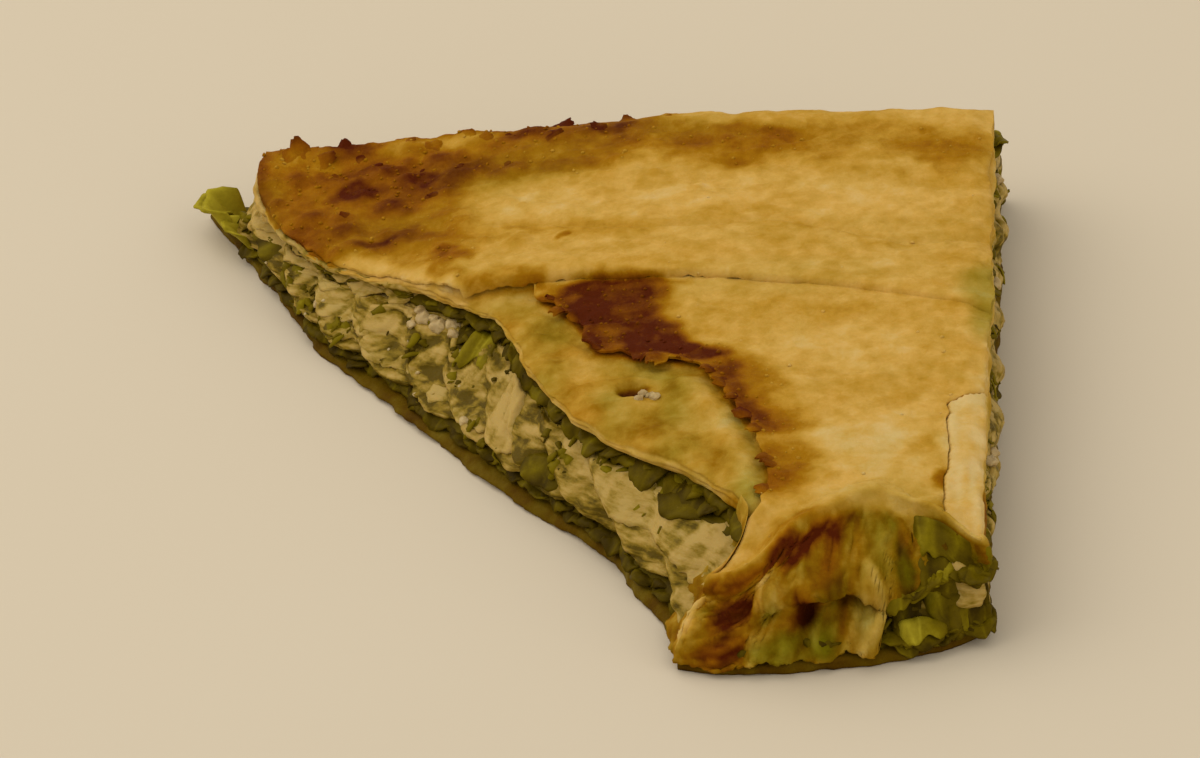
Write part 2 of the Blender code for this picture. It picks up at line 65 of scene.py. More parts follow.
# The slice's own sizes in millimetres, as in its solids
SLICE_WIDTH = 116.0
SLICE_DEPTH = 117.0
CRUST_HEIGHT = 16.5
LAYER_GAP = 0.36
RIM_STEP = 3.6
CORNER_ROOM = 12.0
CORNER_EASE = 0.2
RIGHT = SLICE_WIDTH / 2
LEFT = -RIGHT
BACK = SLICE_DEPTH / 2
FRONT = -BACK

# Rim of the slice, side by side and anticlockwise: points of the foot, each
# with the point of the crust's edge above it
TIP_SIDE = (
    ((17.0, -56.5), (21.5, -51.5)),
    ((25.0, FRONT), (29.0, -52.5)),
    ((42.0, FRONT + 1.0), (42.0, -41.5)),
    ((52.0, -54.0), (50.5, -44.5)),
    ((RIGHT - 0.5, -50.0), (RIGHT - 0.5, -50.5)),
)
RIGHT_SIDE = (
    TIP_SIDE[-1],
    ((RIGHT, 0.0), (RIGHT - 0.3, 0.0)),
    ((RIGHT - 0.5, BACK - 1.5), (RIGHT - 1.0, BACK - 3.0)),
)
BACK_SIDE = (
    RIGHT_SIDE[-1],
    ((10.0, BACK), (10.0, BACK - 1.0)),
    ((LEFT + 1.5, BACK), (-47.0, BACK - 2.0)),
)
CUT_SIDE = (
    BACK_SIDE[-1],
    ((-52.0, 49.0), (-47.5, 47.0)),
    ((-44.5, 36.0), (-40.5, 34.0)),
    ((-38.4, 22.5), (-31.5, 25.5)),
    ((-28.0, 9.5), (-20.5, 18.5)),
    ((-16.0, -6.5), (-10.0, 9.0)),
    ((-4.7, -19.5), (-4.5, -6.0)),
    ((4.6, -29.5), (5.5, -21.5)),
    ((10.4, -39.5), (18.0, -32.0)),
    ((15.0, -48.5), (26.5, -44.0)),
    TIP_SIDE[0],
)

# Crust's face: sags, fold, tear, rims, wrinkles and pit
LEFT_SAG = 5.2
LEFT_SAG_FROM = 22.0
LEFT_SAG_TO = -46.0
NOSE_SAG = 6.5
NOSE_REACH = 13.0
CORNER_SAG = 2.4
CORNER_REACH = 20.0
FOLD_X = -10.0
FOLD_Y = 15.0
FOLD_BEND = 0.00274
FOLD_FADE_IN = (-28.0, -16.0)
FOLD_STEP = 1.3
FOLD_RIGHT_LOSS = 0.6
FOLD_RIGHT_FROM = 15.0
FOLD_BACK_LOSS = 0.75
FOLD_BACK_FADE = (2.0, 26.0)
TEAR = ((-5.0, 12.5), (1.5, 3.5), (4.5, -3.5), (11.5, -6.0), (18.5, -9.0),
        (23.0, -17.5), (27.0, -26.0), (29.0, -36.0), (28.5, -43.0))
TEAR_STEP = 1.2
TEAR_LOSS = 0.5
TEAR_FADE = (2.0, 12.0)
BACK_RIM_Y = (38.0, 52.0)
BACK_RIM_X = (0.0, 25.0)
TIP_RIM_Y = (34.0, 46.0)
LIP_RISE = 0.9
LIP_WIDTH = (0.5, 5.0)
BLISTER_RISE = 1.1
BLISTER_LENGTH = 7.0
WRINKLE_RISE = 0.3
WRINKLE_LENGTH = 4.5
WRINKLE_STRETCH = 0.25
SWELL_RISE = 0.35
SWELL_LENGTH = 16.0
EDGE_FALL = 0.7
EDGE_WIDTH = 3.0
EDGE_WAVE = 0.6
EDGE_WAVE_LENGTH = 4.4
PIT = (9.5, -12.5)
PIT_RADIUS = 2.6
PIT_DEPTH = 1.3

# Interfaces between the layers, from the foot to the crust's face
SHARE = (0.0, 0.105, 0.225, 0.62, 0.79, 1.0)
WAVE = (0.0, 0.12, 0.2, 0.45, 0.35, 0.0)
WAVE_LENGTH = 21.0
SPILL_SLOPE = 0.45
SPILL_SOFT = 3.0
SPILL_LEAST = 1.4
SPILL_GAP = 0.3
SPILLING = (3, 4)

# Layers from the foot up: how far the lower and the upper rim lie back, and how
# far the side is set in, how ragged it is and how far it bulges
Layer = namedtuple("Layer", "low high inset ragged bulge")
LAYERS = (
    Layer(0.0, 0.04, 0.0, 0.7, 0.35),
    Layer(0.06, 0.12, 0.7, 0.9, 0.35),
    Layer(0.10, 0.62, 0.2, 0.7, 1.2),
    Layer(0.9, 1.0, 1.3, 0.8, 0.35),
    Layer(1.0, 1.0, 0.0, 0.5, 0.35),
)
BOTTOM, LOWER, MIDDLE, UPPER, TOP = range(5)
SET_BACK_CURVE = 1.4
RAG_LENGTH = 9.0
FINE_RAG_LENGTH = 4.0
FINE_RAG = 0.6
TIP_SPILL = 0.8
TIP_SPILL_IN = (0.0, 0.4)
TIP_SPILL_OUT = (0.75, 1.0)
POINT_ROOM = (2.0, 13.0)
POINT_SET_BACK = 0.75
PLEAT_DEPTH = 1.0
PLAIN_PLEAT_DEPTH = 0.5
PLEAT_LENGTH = 11.0
PLEAT_LEAN = 7.0
PLEAT_DRIFT_LENGTH = 20.0

# Fineness of the meshes made here
FINE = 8
ROW_SHARE = 0.87
CLEAR_SHARE = 0.5
MERGE_REACH = 1e-5
PLY_PITCH = 0.5
UNDER_PITCH = 2.5
RIM_THINNING = 0.3
SHEET_PITCH = 0.36


def held(value):
    """A value held between 0 and 1."""
    return np.clip(value, 0.0, 1.0)


def smooth(low, high, value):
    """Rise from 0 at low to 1 at high, with level ends."""
    part = held((value - low) / (high - low))
    return part * part * (3.0 - 2.0 * part)


def fade(low, high, value):
    """Fall from 1 at low to 0 at high, with level ends."""
    return 1.0 - smooth(low, high, value)


def mix(low, high, part):
    return low + (high - low) * part


def ripple(x, y, seed, length):
    """Gentle unevenness between about -1 and 1 that repeats on every run."""
    x, y, seed = np.broadcast_arrays(np.asarray(x) / length, np.asarray(y) / length, np.asarray(seed, float))
    places = zip(x.ravel().tolist(), y.ravel().tolist(), seed.ravel().tolist())
    return np.reshape([noise.noise(place) for place in places], x.shape)


def rough(x, y, seed, length, octaves=3):
    """Unevenness with finer and finer parts."""
    return sum(0.5 ** octave * ripple(x, y, seed + 7.7 * octave, length * 0.5 ** octave)
               for octave in range(octaves))


def rippled(value, x, y, *waves):
    """A value with ripples added: each has a size, a seed, a length and, if drawn out along X,
    a share that squeezes X."""
    for size, seed, length, squeeze in ((*wave, 1.0)[:4] for wave in waves):
        value = value + size * ripple(x * squeeze, y, seed, length)
    return value


def with_marks(value, x, y, marks, core):
    """A value with soft marks added: place, reach along X and Y, and strength."""
    for mark_x, mark_y, reach_x, reach_y, strength in marks:
        away = np.hypot((x - mark_x) / reach_x, (y - mark_y) / reach_y)
        value = value + strength * fade(core, 1.0, away)
    return value


def from_spot(x, y, spot):
    return np.hypot(x - spot[0], y - spot[1])


def curve_point(points, index, part):
    """Point on the smooth curve through the points, part way past one of them."""
    before = points[max(index - 1, 0)]
    start = points[index]
    end = points[index + 1]
    after = points[min(index + 2, len(points) - 1)]
    square = part * part
    cube = square * part
    return tuple(
        0.5 * (2 * b + (c - a) * part + (2 * a - 5 * b + 4 * c - d) * square
               + (3 * b - a - 3 * c + d) * cube)
        for a, b, c, d in zip(before, start, end, after))


def side_table(side, first, finer):
    """Rows of foot point, edge point and station number along one side."""
    points = [foot + edge for foot, edge in side]
    rows = []
    for index in range(len(points) - 1):
        count = max(round(math.dist(points[index][:2], points[index + 1][:2]) / RIM_STEP), 1)
        for step in range(count * finer):
            part = step / (count * finer)
            rows.append((*curve_point(points, index, part), first + part * count))
        first += count
    return rows, first


def rim_table(finer):
    """The whole rim, and the station number at which each side starts."""
    rows = []
    starts = []
    first = 0
    for side in (TIP_SIDE, RIGHT_SIDE, BACK_SIDE, CUT_SIDE):
        starts.append(first)
        found, first = side_table(side, first, finer)
        rows += found
    return np.array(rows), starts + [first]


COARSE, (_, RIGHT_START, BACK_START, CUT_START, STATIONS) = rim_table(1)
FINE_RIM, _ = rim_table(FINE)
RIM_AT = FINE_RIM[:, 4]
EDGE = [tuple(row[2:4]) for row in COARSE]


def rim_normals():
    """Outward direction at each coarse station, shorter near a corner."""
    corners = [side[0][0] for side in (TIP_SIDE, RIGHT_SIDE, BACK_SIDE, CUT_SIDE)]
    normals = []
    for index, here in enumerate(COARSE):
        along = COARSE[(index + 1) % STATIONS][:2] - COARSE[index - 1][:2]
        along = along / np.hypot(*along)
        near = min(math.dist(here[:2], corner) for corner in corners)
        length = mix(CORNER_EASE, 1.0, smooth(0.0, CORNER_ROOM, near))
        normals.append((along[1] * length, -along[0] * length))
    return np.array(normals)


NORMALS = rim_normals()


def at_rim(at):
    """Foot x and y, edge x and y, and outward x and y at places along the rim."""
    at = np.asarray(at, float)
    found = [np.interp(at, RIM_AT, FINE_RIM[:, column], period=STATIONS) for column in range(4)]
    whole = np.arange(STATIONS)
    return found + [np.interp(at, whole, NORMALS[:, column], period=STATIONS) for column in range(2)]


def segments(path, closed):
    return list(zip(path, path[1:])) + ([(path[-1], path[0])] if closed else [])


def to_path(x, y, path, closed=False):
    """Distance to a path, and which side of it each point is on."""
    nearest = np.full(np.shape(x), np.inf)
    side = np.zeros(np.shape(x))
    for (start_x, start_y), (end_x, end_y) in segments(path, closed):
        run_x = end_x - start_x
        run_y = end_y - start_y
        part = held(((x - start_x) * run_x + (y - start_y) * run_y) / (run_x ** 2 + run_y ** 2))
        apart = np.hypot(x - start_x - run_x * part, y - start_y - run_y * part)
        nearer = apart < nearest
        nearest = np.where(nearer, apart, nearest)
        side = np.where(nearer, run_x * (y - start_y) - run_y * (x - start_x), side)
    return nearest, side


def inside(x, y, path):
    """True for the points that a closed path goes round."""
    within = np.zeros(np.shape(x), bool)
    for (start_x, start_y), (end_x, end_y) in segments(path, True):
        if start_y != end_y:
            crossing = start_x + (y - start_y) * (end_x - start_x) / (end_y - start_y)
            within ^= ((start_y > y) != (end_y > y)) & (x < crossing)
    return within


def edge_depth(x, y):
    return to_path(x, y, EDGE, True)[0]


def outside_edge(x, y):
    """How far a point lies outside the crust's edge, 0 for one inside it."""
    return np.where(inside(x, y, EDGE), 0.0, edge_depth(x, y))


def slice_height(x, y):
    """Height of the crust without its relief: the left end and the tip sag."""
    height = CRUST_HEIGHT - LEFT_SAG * smooth(-LEFT_SAG_FROM, -LEFT_SAG_TO, -x)
    nose = from_spot(x, y, TIP_SIDE[0][1])
    corner = from_spot(x, y, TIP_SIDE[-1][1])
    height = height - NOSE_SAG * fade(0.0, NOSE_REACH, nose)
    return height - CORNER_SAG * fade(0.0, CORNER_REACH, corner)


def interface(index, x, y):
    """Height of the surface under a layer; the crust's own face is left smooth."""
    height = SHARE[index] * slice_height(x, y)
    height = height + WAVE[index] * ripple(x, y, 2.3 * index, WAVE_LENGTH)
    if index in SPILLING:
        out = outside_edge(x, y)
        height = height - SPILL_SLOPE * out * out / (out + SPILL_SOFT)
        height = np.maximum(height, interface(LOWER + 1, x, y) + SPILL_LEAST * (index - LOWER - 1))
    return height


def layer_height(layer, part, x, y):
    """Height inside a layer, part of the way from its lower to its upper face."""
    low = interface(layer, x, y) + (LAYER_GAP / 2 if layer > BOTTOM else 0.0)
    high = interface(layer + 1, x, y) - (LAYER_GAP / 2 if layer < TOP else 0.0)
    if layer == UPPER:
        low = low + SPILL_GAP * smooth(0.0, SPILL_SOFT, outside_edge(x, y))
    return mix(low, high, part)


def set_back(layer, at, part):
    """Share of the way from the foot's line to the crust's edge."""
    back = mix(LAYERS[layer].low, LAYERS[layer].high, part ** SET_BACK_CURVE)
    if layer in (MIDDLE, UPPER):
        foot_x, foot_y = at_rim(at)[:2]
        near = from_spot(foot_x, foot_y, BACK_SIDE[-1][0])
        back = mix(back, 1.0, POINT_SET_BACK * fade(*POINT_ROOM, near))
    if layer == UPPER:
        along = np.mod(at, STATIONS) / RIGHT_START
        back = back - TIP_SPILL * smooth(*TIP_SPILL_IN, along) * fade(*TIP_SPILL_OUT, along)
    return back


def pleat(at, part, x, y):
    """Inward depth of the slanting pleats, shallower on the right and the back."""
    at = np.mod(at, STATIONS)
    turn = at * RIM_STEP / PLEAT_LENGTH + part * CRUST_HEIGHT / 2 / PLEAT_LEAN
    depth = np.where((at > CUT_START) | (at < RIGHT_START), PLEAT_DEPTH, PLAIN_PLEAT_DEPTH)
    return depth * (1.0 - np.sin(math.tau * turn + 2.0 * ripple(x, y, 6.6, PLEAT_DRIFT_LENGTH)))


def rim_place(layer, at, part, out=0.0):
    """Points of a layer's ragged side, moved outwards by a further distance."""
    settings = LAYERS[layer]
    part = held(part)
    foot_x, foot_y, edge_x, edge_y, out_x, out_y = at_rim(at)
    back = set_back(layer, at, part)
    x = mix(foot_x, edge_x, back)
    y = mix(foot_y, edge_y, back)
    rag = ripple(x, y, 4.0 * layer + part, RAG_LENGTH)
    rag = rag + FINE_RAG * ripple(x, y, 9.0 + layer - part, FINE_RAG_LENGTH)
    reach = settings.ragged * (rag - 1.0) + settings.bulge * np.sin(math.pi * part) - settings.inset + out
    if layer == MIDDLE:
        reach = reach - pleat(at, part, x, y)
    return x + out_x * reach, y + out_y * reach


# Crust's face, ply by ply
BUBBLES = 60
BUBBLE_ZONE = ((-46.0, -8.0), (24.0, 56.0))
BUBBLE_RADIUS = (1.0, 3.2)
STRAY_BUBBLES = 90
STRAY_ZONE = ((-20.0, 56.0), (-44.0, 54.0))
STRAY_RADIUS = (0.5, 1.5)
LOBE = ((17.0, -12.5), (21.5, -20.0), (25.0, -30.0), (27.0, -41.0))
LOBE_WIDTH = 4.2
SECOND_CREASE = ((-12.0, 30.4), (9.6, 24.7), (25.7, 26.4), (46.0, 19.0), (57.0, 20.5))
CREASE_DEPTH = 0.4
LOBE_RISE = 1.0
TALL = 16.6
TALLEST = 17.2
TALL_SHARE = 0.4
LIP_RADIUS = 1.3
LIP_DROP = 0.95
LIP_SWELL = 0.4
TEAR_CURL = 0.55

# Waves of the crust: size, seed, length, and a share of X where they are drawn out
BEND_WAVE = (1.8, 51.0, 14.0)
FOLD_WAVES = ((0.46, 56.0, 9.0, 0.45), (0.22, 50.0, 4.6, 0.6))
CREASE_WAVES = ((0.16, 52.0, 2.2, 0.4), (0.09, 53.0, 1.1, 0.7))
TONGUE_WAVES = ((0.3, 58.0, 4.2), (0.12, 59.0, 1.7))
RIDGE_RISE = 0.24
RIDGE_SHARPNESS = 4.5
CROSS_RISE = 0.14
CROSS_SHARPNESS = 7.0
GRAIN_RISE = 0.16


def scattered(seed, count, zone, sizes):
    """Places and sizes of round marks, drawn evenly over a zone."""
    draw = random.Random(seed)
    return [(draw.uniform(*zone[0]), draw.uniform(*zone[1]), draw.uniform(*sizes)) for _ in range(count)]


BUBBLE_MARKS = scattered(31, BUBBLES, BUBBLE_ZONE, BUBBLE_RADIUS)
BUBBLE_MARKS += scattered(32, STRAY_BUBBLES, STRAY_ZONE, STRAY_RADIUS)


def bubbles(x, y):
    """How high each place is on a bubble, 1 on top of a large one."""
    found = np.zeros(np.shape(x))
    for place_x, place_y, radius in BUBBLE_MARKS:
        away = from_spot(x, y, (place_x, place_y)) / radius
        found = np.maximum(found, held(1.0 - away * away) ** 1.5 * radius / BUBBLE_RADIUS[1])
    return found


def fold_edge(x):
    """Front edge of the back ply: a slightly bent, wavy line across the crust."""
    return FOLD_Y - FOLD_BEND * (x - FOLD_X) ** 2 + 0.5 * ripple(x, 0.0, 41.0, 11.0)


def ply_lap(x, y):
    """Rise of the back ply over the front one."""
    lap = FOLD_STEP * smooth(*FOLD_FADE_IN, x) * (1.0 - FOLD_RIGHT_LOSS * smooth(FOLD_RIGHT_FROM, RIGHT, x))
    return lap * (1.0 - FOLD_BACK_LOSS * smooth(*FOLD_BACK_FADE, y - fold_edge(x)))


def tear_drop(x, y):
    """Drop from the front ply to the bare lower one."""
    distance, side = to_path(x, y, TEAR)
    torn = np.where(side < 0.0, distance, 0.0)
    return TEAR_STEP * smooth(*FOLD_FADE_IN, x) * (1.0 - TEAR_LOSS * smooth(*TEAR_FADE, torn))


def crust_relief(x, y):
    """Rims, blisters, wrinkles and swells that all plies of the crust share."""
    depth = edge_depth(x, y)
    back_left = smooth(*BACK_RIM_Y, y) * smooth(*BACK_RIM_X, -x)
    browned = np.maximum(smooth(*TIP_RIM_Y, -y), back_left)
    relief = LIP_RISE * fade(*LIP_WIDTH, depth) * browned
    relief = relief + BLISTER_RISE * back_left * np.maximum(ripple(x, y, 3.1, BLISTER_LENGTH), 0.0)
    relief = relief + WRINKLE_RISE * ripple(x * WRINKLE_STRETCH, y, 8.7, WRINKLE_LENGTH)
    relief = relief + SWELL_RISE * ripple(x, y, 5.2, SWELL_LENGTH)
    relief = relief + EDGE_WAVE * ripple(x, y, 5.9, EDGE_WAVE_LENGTH) * fade(0.0, 4.5, depth)
    return relief - EDGE_FALL * fade(0.0, EDGE_WIDTH, depth) * (1.0 - browned)


def fine_relief(x, y):
    """Soft folds, small creases along the plies, bubbles and dents."""
    bend = rippled(y, x, y, BEND_WAVE)
    folds = rippled(0.0, x, bend, *FOLD_WAVES)
    creases = rippled(0.0, x, bend, *CREASE_WAVES)
    ridge = 1.0 - np.abs(ripple(x * 0.35, bend, 54.0, 6.0)) * RIDGE_SHARPNESS
    cross = 1.0 - np.abs(ripple(x, y * 0.6, 49.0, 8.0)) * CROSS_SHARPNESS
    creases = creases + RIDGE_RISE * held(ridge) ** 2 + CROSS_RISE * held(cross) ** 2
    groove = fade(0.0, 1.1, to_path(x, bend - 0.6, SECOND_CREASE)[0])
    grain = GRAIN_RISE * rough(x, y, 55.0, 2.6)
    sizes = bpy.context.scene.borek_sizes
    raised = sizes.bubble_rise * BUBBLE_RADIUS[1] * bubbles(x, y)
    return folds + sizes.crease_rise * creases - CREASE_DEPTH * groove + grain + raised


def crust_face(x, y):
    """Height of the crust with its relief, held down where it is tallest."""
    height = interface(TOP + 1, x, y) + crust_relief(x, y) + fine_relief(x, y)
    return np.minimum(height, mix(TALL, height, TALL_SHARE))


def ply_top(ply, x, y):
    """Height of the top of the back, front or low ply of the crust."""
    height = crust_face(x, y)
    if ply == "back":
        behind = np.maximum(y - fold_edge(x), 0.0)
        roll = 1.0 - held(behind / LIP_RADIUS)
        rolled = LIP_DROP * (1.0 - np.sqrt(held(1.0 - roll * roll)))
        swell = LIP_SWELL * np.exp(-((behind - 2.0) / 1.5) ** 2)
        height = height + ply_lap(x, y) + smooth(*FOLD_FADE_IN, x) * (swell - rolled)
        return np.minimum(height, mix(TALLEST, height, TALL_SHARE))
    if ply == "front":
        distance = to_path(x, y, TEAR)[0]
        curl = TEAR_CURL * fade(0.0, 2.4, distance) * (0.6 + 0.8 * ripple(x, y, 57.0, 3.6))
        return height + curl
    lobe = fade(0.0, LOBE_WIDTH, to_path(x, y, LOBE)[0])
    pit = fade(PIT_RADIUS / 3, PIT_RADIUS, from_spot(x, y, PIT))
    soft = rippled(0.0, x, y, *TONGUE_WAVES)
    drop = mix(tear_drop(x, y), STRIP_STEP, strip(x, y))
    return height - drop + LOBE_RISE * lobe - PIT_DEPTH * pit + soft


# How far each place of the crust is baked, with painted shade along the back ply's lip.
# Marks are place, reach along X and Y, and strength; strokes are a path, a width and a strength.
PLAIN_BAKE = 0.285
BAKED_MARKS = (
    (-34.0, 42.0, 25.0, 19.0, 0.38),
    (-24.0, 47.0, 15.0, 10.0, 0.16),
    (-38.0, 30.0, 9.0, 10.0, 0.14),
    (-24.0, 28.0, 11.0, 8.0, 0.20),
    (-17.0, 27.5, 8.0, 6.0, 0.12),
    (-4.0, 50.0, 22.0, 10.0, 0.34),
    (10.0, 50.0, 12.0, 8.0, 0.10),
    (-6.0, 56.0, 22.0, 5.0, 0.12),
    (21.0, 47.0, 13.0, 8.0, 0.36),
    (37.0, 47.0, 14.0, 7.5, 0.20),
    (50.5, 44.5, 8.0, 9.0, 0.26),
    (-17.5, 23.4, 6.4, 2.8, 0.34),
    (-24.0, 46.7, 3.4, 2.4, 0.22),
    (-34.2, 44.2, 4.2, 3.0, 0.36),
    (-40.3, 35.3, 3.2, 2.6, 0.14),
    (-28.6, 31.1, 3.6, 2.0, 0.18),
    (-35.0, 55.0, 4.5, 2.6, 0.24),
    (-9.1, 54.1, 6.0, 2.4, 0.20),
    (2.8, 54.5, 5.0, 2.0, 0.18),
    (31.0, -40.0, 6.0, 5.0, 0.16),
    (-7.0, 35.0, 12.0, 6.0, -0.14),
    (14.5, 34.0, 14.0, 6.0, -0.10),
    (40.0, 30.0, 14.0, 8.0, -0.07),
    (42.0, -29.0, 13.0, 13.0, -0.15),
    (38.0, -10.0, 16.0, 12.0, -0.07),
    (55.5, -34.0, 4.5, 21.0, -0.20),
    (-1.9, 24.7, 1.5, 1.2, 0.30),
    (49.3, -30.5, 3.4, 2.8, 0.20),
    (51.6, -36.8, 1.8, 2.6, 0.38),
    (52.9, -43.2, 2.0, 2.8, 0.40),
)
BAKED_STROKES = (
    (((-33.0, 27.2), (-31.5, 25.8), (-20.5, 18.8), (-12.0, 12.0)), 2.0, -0.15),
    (((-20.0, 20.6), (-15.0, 16.6), (-5.0, 15.4)), 2.2, 0.20),
    (((-9.5, 29.8), (9.6, 24.7)), 3.4, 0.10),
    (((20.0, -7.5), (24.5, -15.0), (29.0, -25.0), (31.5, -35.0)), 7.5, 0.34),
    (((22.0, -11.0), (26.5, -19.5), (29.0, -26.0)), 2.4, 0.22),
    (((12.0, -3.5), (20.0, -6.5)), 4.0, 0.34),
    (((22.5, -51.5), (28.0, -51.0), (35.0, -46.5)), 3.0, 0.24),
    (((35.0, -46.5), (42.0, -42.5), (50.5, -45.5), (57.0, -50.5)), 3.4, 0.14),
    # Darker just in front of the back ply's lip: painted shadow of the fold
    (((-15.0, 14.0), (-4.0, 14.2), (8.0, 13.6), (16.0, 12.6)), 1.5, 0.22),
    (((-11.0, 30.5), (8.0, 20.5), (26.0, 26.5), (44.0, 18.5)), 1.2, 0.06),
)

# Waves of the bake, and how marks are pushed along X and Y
BAKE_WAVES = ((0.12, 65.0, 8.0, 0.3), (0.05, 66.0, 2.4, 0.35), (0.07, 60.0, 4.2), (0.05, 59.5, 1.7))
BAKE_PUSH_X = ((2.4, 61.0, 7.0), (1.2, 62.0, 2.6))
BAKE_PUSH_Y = ((1.9, 63.0, 6.0), (0.9, 64.0, 2.2))
BACK_RIM_BAKE = 0.34
TIP_RIM_PALENESS = 0.12
BUBBLE_BAKE = 0.17

# Outline of the burnt patch
BURNT = ((-4.5, 11.5), (0.0, 5.5), (4.2, -3.4), (11.0, -5.5), (19.0, -6.8), (15.5, -1.0), (12.0, 4.5),
         (12.8, 11.8), (8.5, 13.4), (0.0, 14.2))
BURNT_STRENGTH = 0.69


def bake_field(x, y):
    """How far each place of the crust is baked: 0 pale, 1 burnt; one stroke adds painted shadow in front of
    the fold's lip.
    """
    far_x = rippled(x, x, y, *BAKE_PUSH_X)
    far_y = rippled(y, x, y, *BAKE_PUSH_Y)
    bake = with_marks(rippled(PLAIN_BAKE, x, y, *BAKE_WAVES), far_x, far_y, BAKED_MARKS, 0.35)
    for path, width, strength in BAKED_STROKES:
        bake = bake + strength * fade(0.15, 1.0, to_path(far_x, far_y, path)[0] / width)
    distance = to_path(far_x, far_y, BURNT, True)[0]
    depth = np.where(inside(far_x, far_y, BURNT), distance, -distance)
    burnt = BURNT_STRENGTH * smooth(-2.6, 1.6, depth) * (0.98 + 0.3 * ripple(x, y, 58.5, 3.6))
    bake = bake + burnt * fade(-0.2, 0.5, y - fold_edge(x))
    rim = fade(0.0, 2.6, edge_depth(x, y) + 0.9 * ripple(x, y, 67.0, 3.0))
    back_rim = BACK_RIM_BAKE * smooth(40.0, 50.0, y) * smooth(-22.0, 4.0, -x)
    bake = bake + rim * (back_rim - TIP_RIM_PALENESS * smooth(-20.0, 10.0, -y))
    return bake + BUBBLE_BAKE * bubbles(x, y)


class Shape:
    """Points, faces and marks of a piece, gathered part by part in millimetres."""

    def __init__(self, *marks):
        self.points = []
        self.faces = []
        self.marks = {name: [] for name in marks}
        self.count = 0

    def add(self, x, y, z, faces, **marks):
        """Add points with the faces between them, and a value of each mark per point."""
        points = np.stack(np.broadcast_arrays(x, y, z), axis=-1).reshape(-1, 3)
        self.points.append(points)
        self.faces += [tuple(corner + self.count for corner in face) for face in faces]
        for name, values in self.marks.items():
            given = np.broadcast_to(marks.get(name, 0.0), np.shape(x)).reshape(-1)
            values.append(given)
        self.count += len(points)

    def mesh(self, name):
        """The piece's mesh in metres, with outward faces and its marks as attributes."""
        mesh = bpy.data.meshes.new(name)
        mesh.from_pydata((np.concatenate(self.points) * MM).tolist(), [], self.faces)
        for mark, values in self.marks.items():
            attribute = mesh.attributes.new(mark, "FLOAT", "POINT")
            attribute.data.foreach_set("value", np.concatenate(values).astype(np.float32))
        body = bmesh.new()
        body.from_mesh(mesh)
        bmesh.ops.recalc_face_normals(body, faces=body.faces[:])
        body.to_mesh(mesh)
        body.free()
        mesh.shade_smooth()
        return mesh


def grid_faces(rows, columns, closed=False):
    """Corners of the quads of a grid, which can close on itself along its columns."""
    found = []
    for i in range(rows - 1):
        for j in range(columns if closed else columns - 1):
            k = (j + 1) % columns
            found.append((i * columns + j, i * columns + k, (i + 1) * columns + k, (i + 1) * columns + j))
    return found


def grid_points(ring, pitch):
    """Points of a triangular grid over an outline's box."""
    low = ring.min(axis=0)
    high = ring.max(axis=0)
    rows = int((high[1] - low[1]) / (pitch * ROW_SHARE)) + 2
    columns = int((high[0] - low[0]) / pitch) + 2
    column, row = np.meshgrid(np.arange(columns), np.arange(rows))
    x = low[0] + (column + 0.5 * (row % 2)) * pitch
    y = low[1] + row * pitch * ROW_SHARE
    return np.stack((x.ravel(), y.ravel()), axis=1)


def fill(ring, pitch, fine_pitch=None, fine_where=None):
    """Triangles inside an outline: points, which start with the outline's, and corners."""
    points = grid_points(ring, pitch)
    pitches = np.full(len(points), pitch)
    if fine_pitch:
        points = points[~fine_where(*points.T)]
        fine = grid_points(ring, fine_pitch)
        fine = fine[fine_where(*fine.T)]
        pitches = np.repeat((pitch, fine_pitch), (len(points), len(fine)))
        points = np.concatenate((points, fine))
    places = [tuple(point) for point in ring]
    x, y = points.T
    room = to_path(x, y, places, True)[0]
    points = points[inside(x, y, places) & (room > CLEAR_SHARE * pitches)]
    every = [Vector(point) for point in np.concatenate((ring, points)).tolist()]
    found, _, faces, sources, _, _ = delaunay_2d_cdt(every, [], [list(range(len(ring)))], 1, MERGE_REACH)
    number = []
    for point, source in zip(found, sources):
        if source and source[0] < len(ring):
            number.append(source[0])
        else:
            number.append(len(places))
            places.append(tuple(point))
    return np.array(places), [tuple(number[corner] for corner in face) for face in faces]


def add_thin_grid(shape, x, y, z, thickness, **marks):
    """Closed thin piece round a grid of middle points, thick along its own normal."""
    points = np.stack((x, y, z), axis=-1)
    normal = np.cross(np.gradient(points, axis=0), np.gradient(points, axis=1))
    normal = normal / np.maximum(np.linalg.norm(normal, axis=-1, keepdims=True), 1e-9)
    rows, columns = x.shape
    both = np.stack((points + normal * thickness / 2, points - normal * thickness / 2))
    count = rows * columns
    faces = grid_faces(rows, columns)
    faces = faces + [tuple(count + corner for corner in reversed(face)) for face in faces]
    rim = [i * columns for i in range(rows)] + [(rows - 1) * columns + j for j in range(1, columns)]
    rim += [i * columns + columns - 1 for i in range(rows - 2, -1, -1)] + list(range(columns - 2, 0, -1))
    faces += [(rim[i - 1], rim[i], count + rim[i], count + rim[i - 1]) for i in range(len(rim))]
    spread = {name: np.stack((np.broadcast_to(value, x.shape),) * 2) for name, value in marks.items()}
    shape.add(both[..., 0], both[..., 1], both[..., 2], faces, **spread)


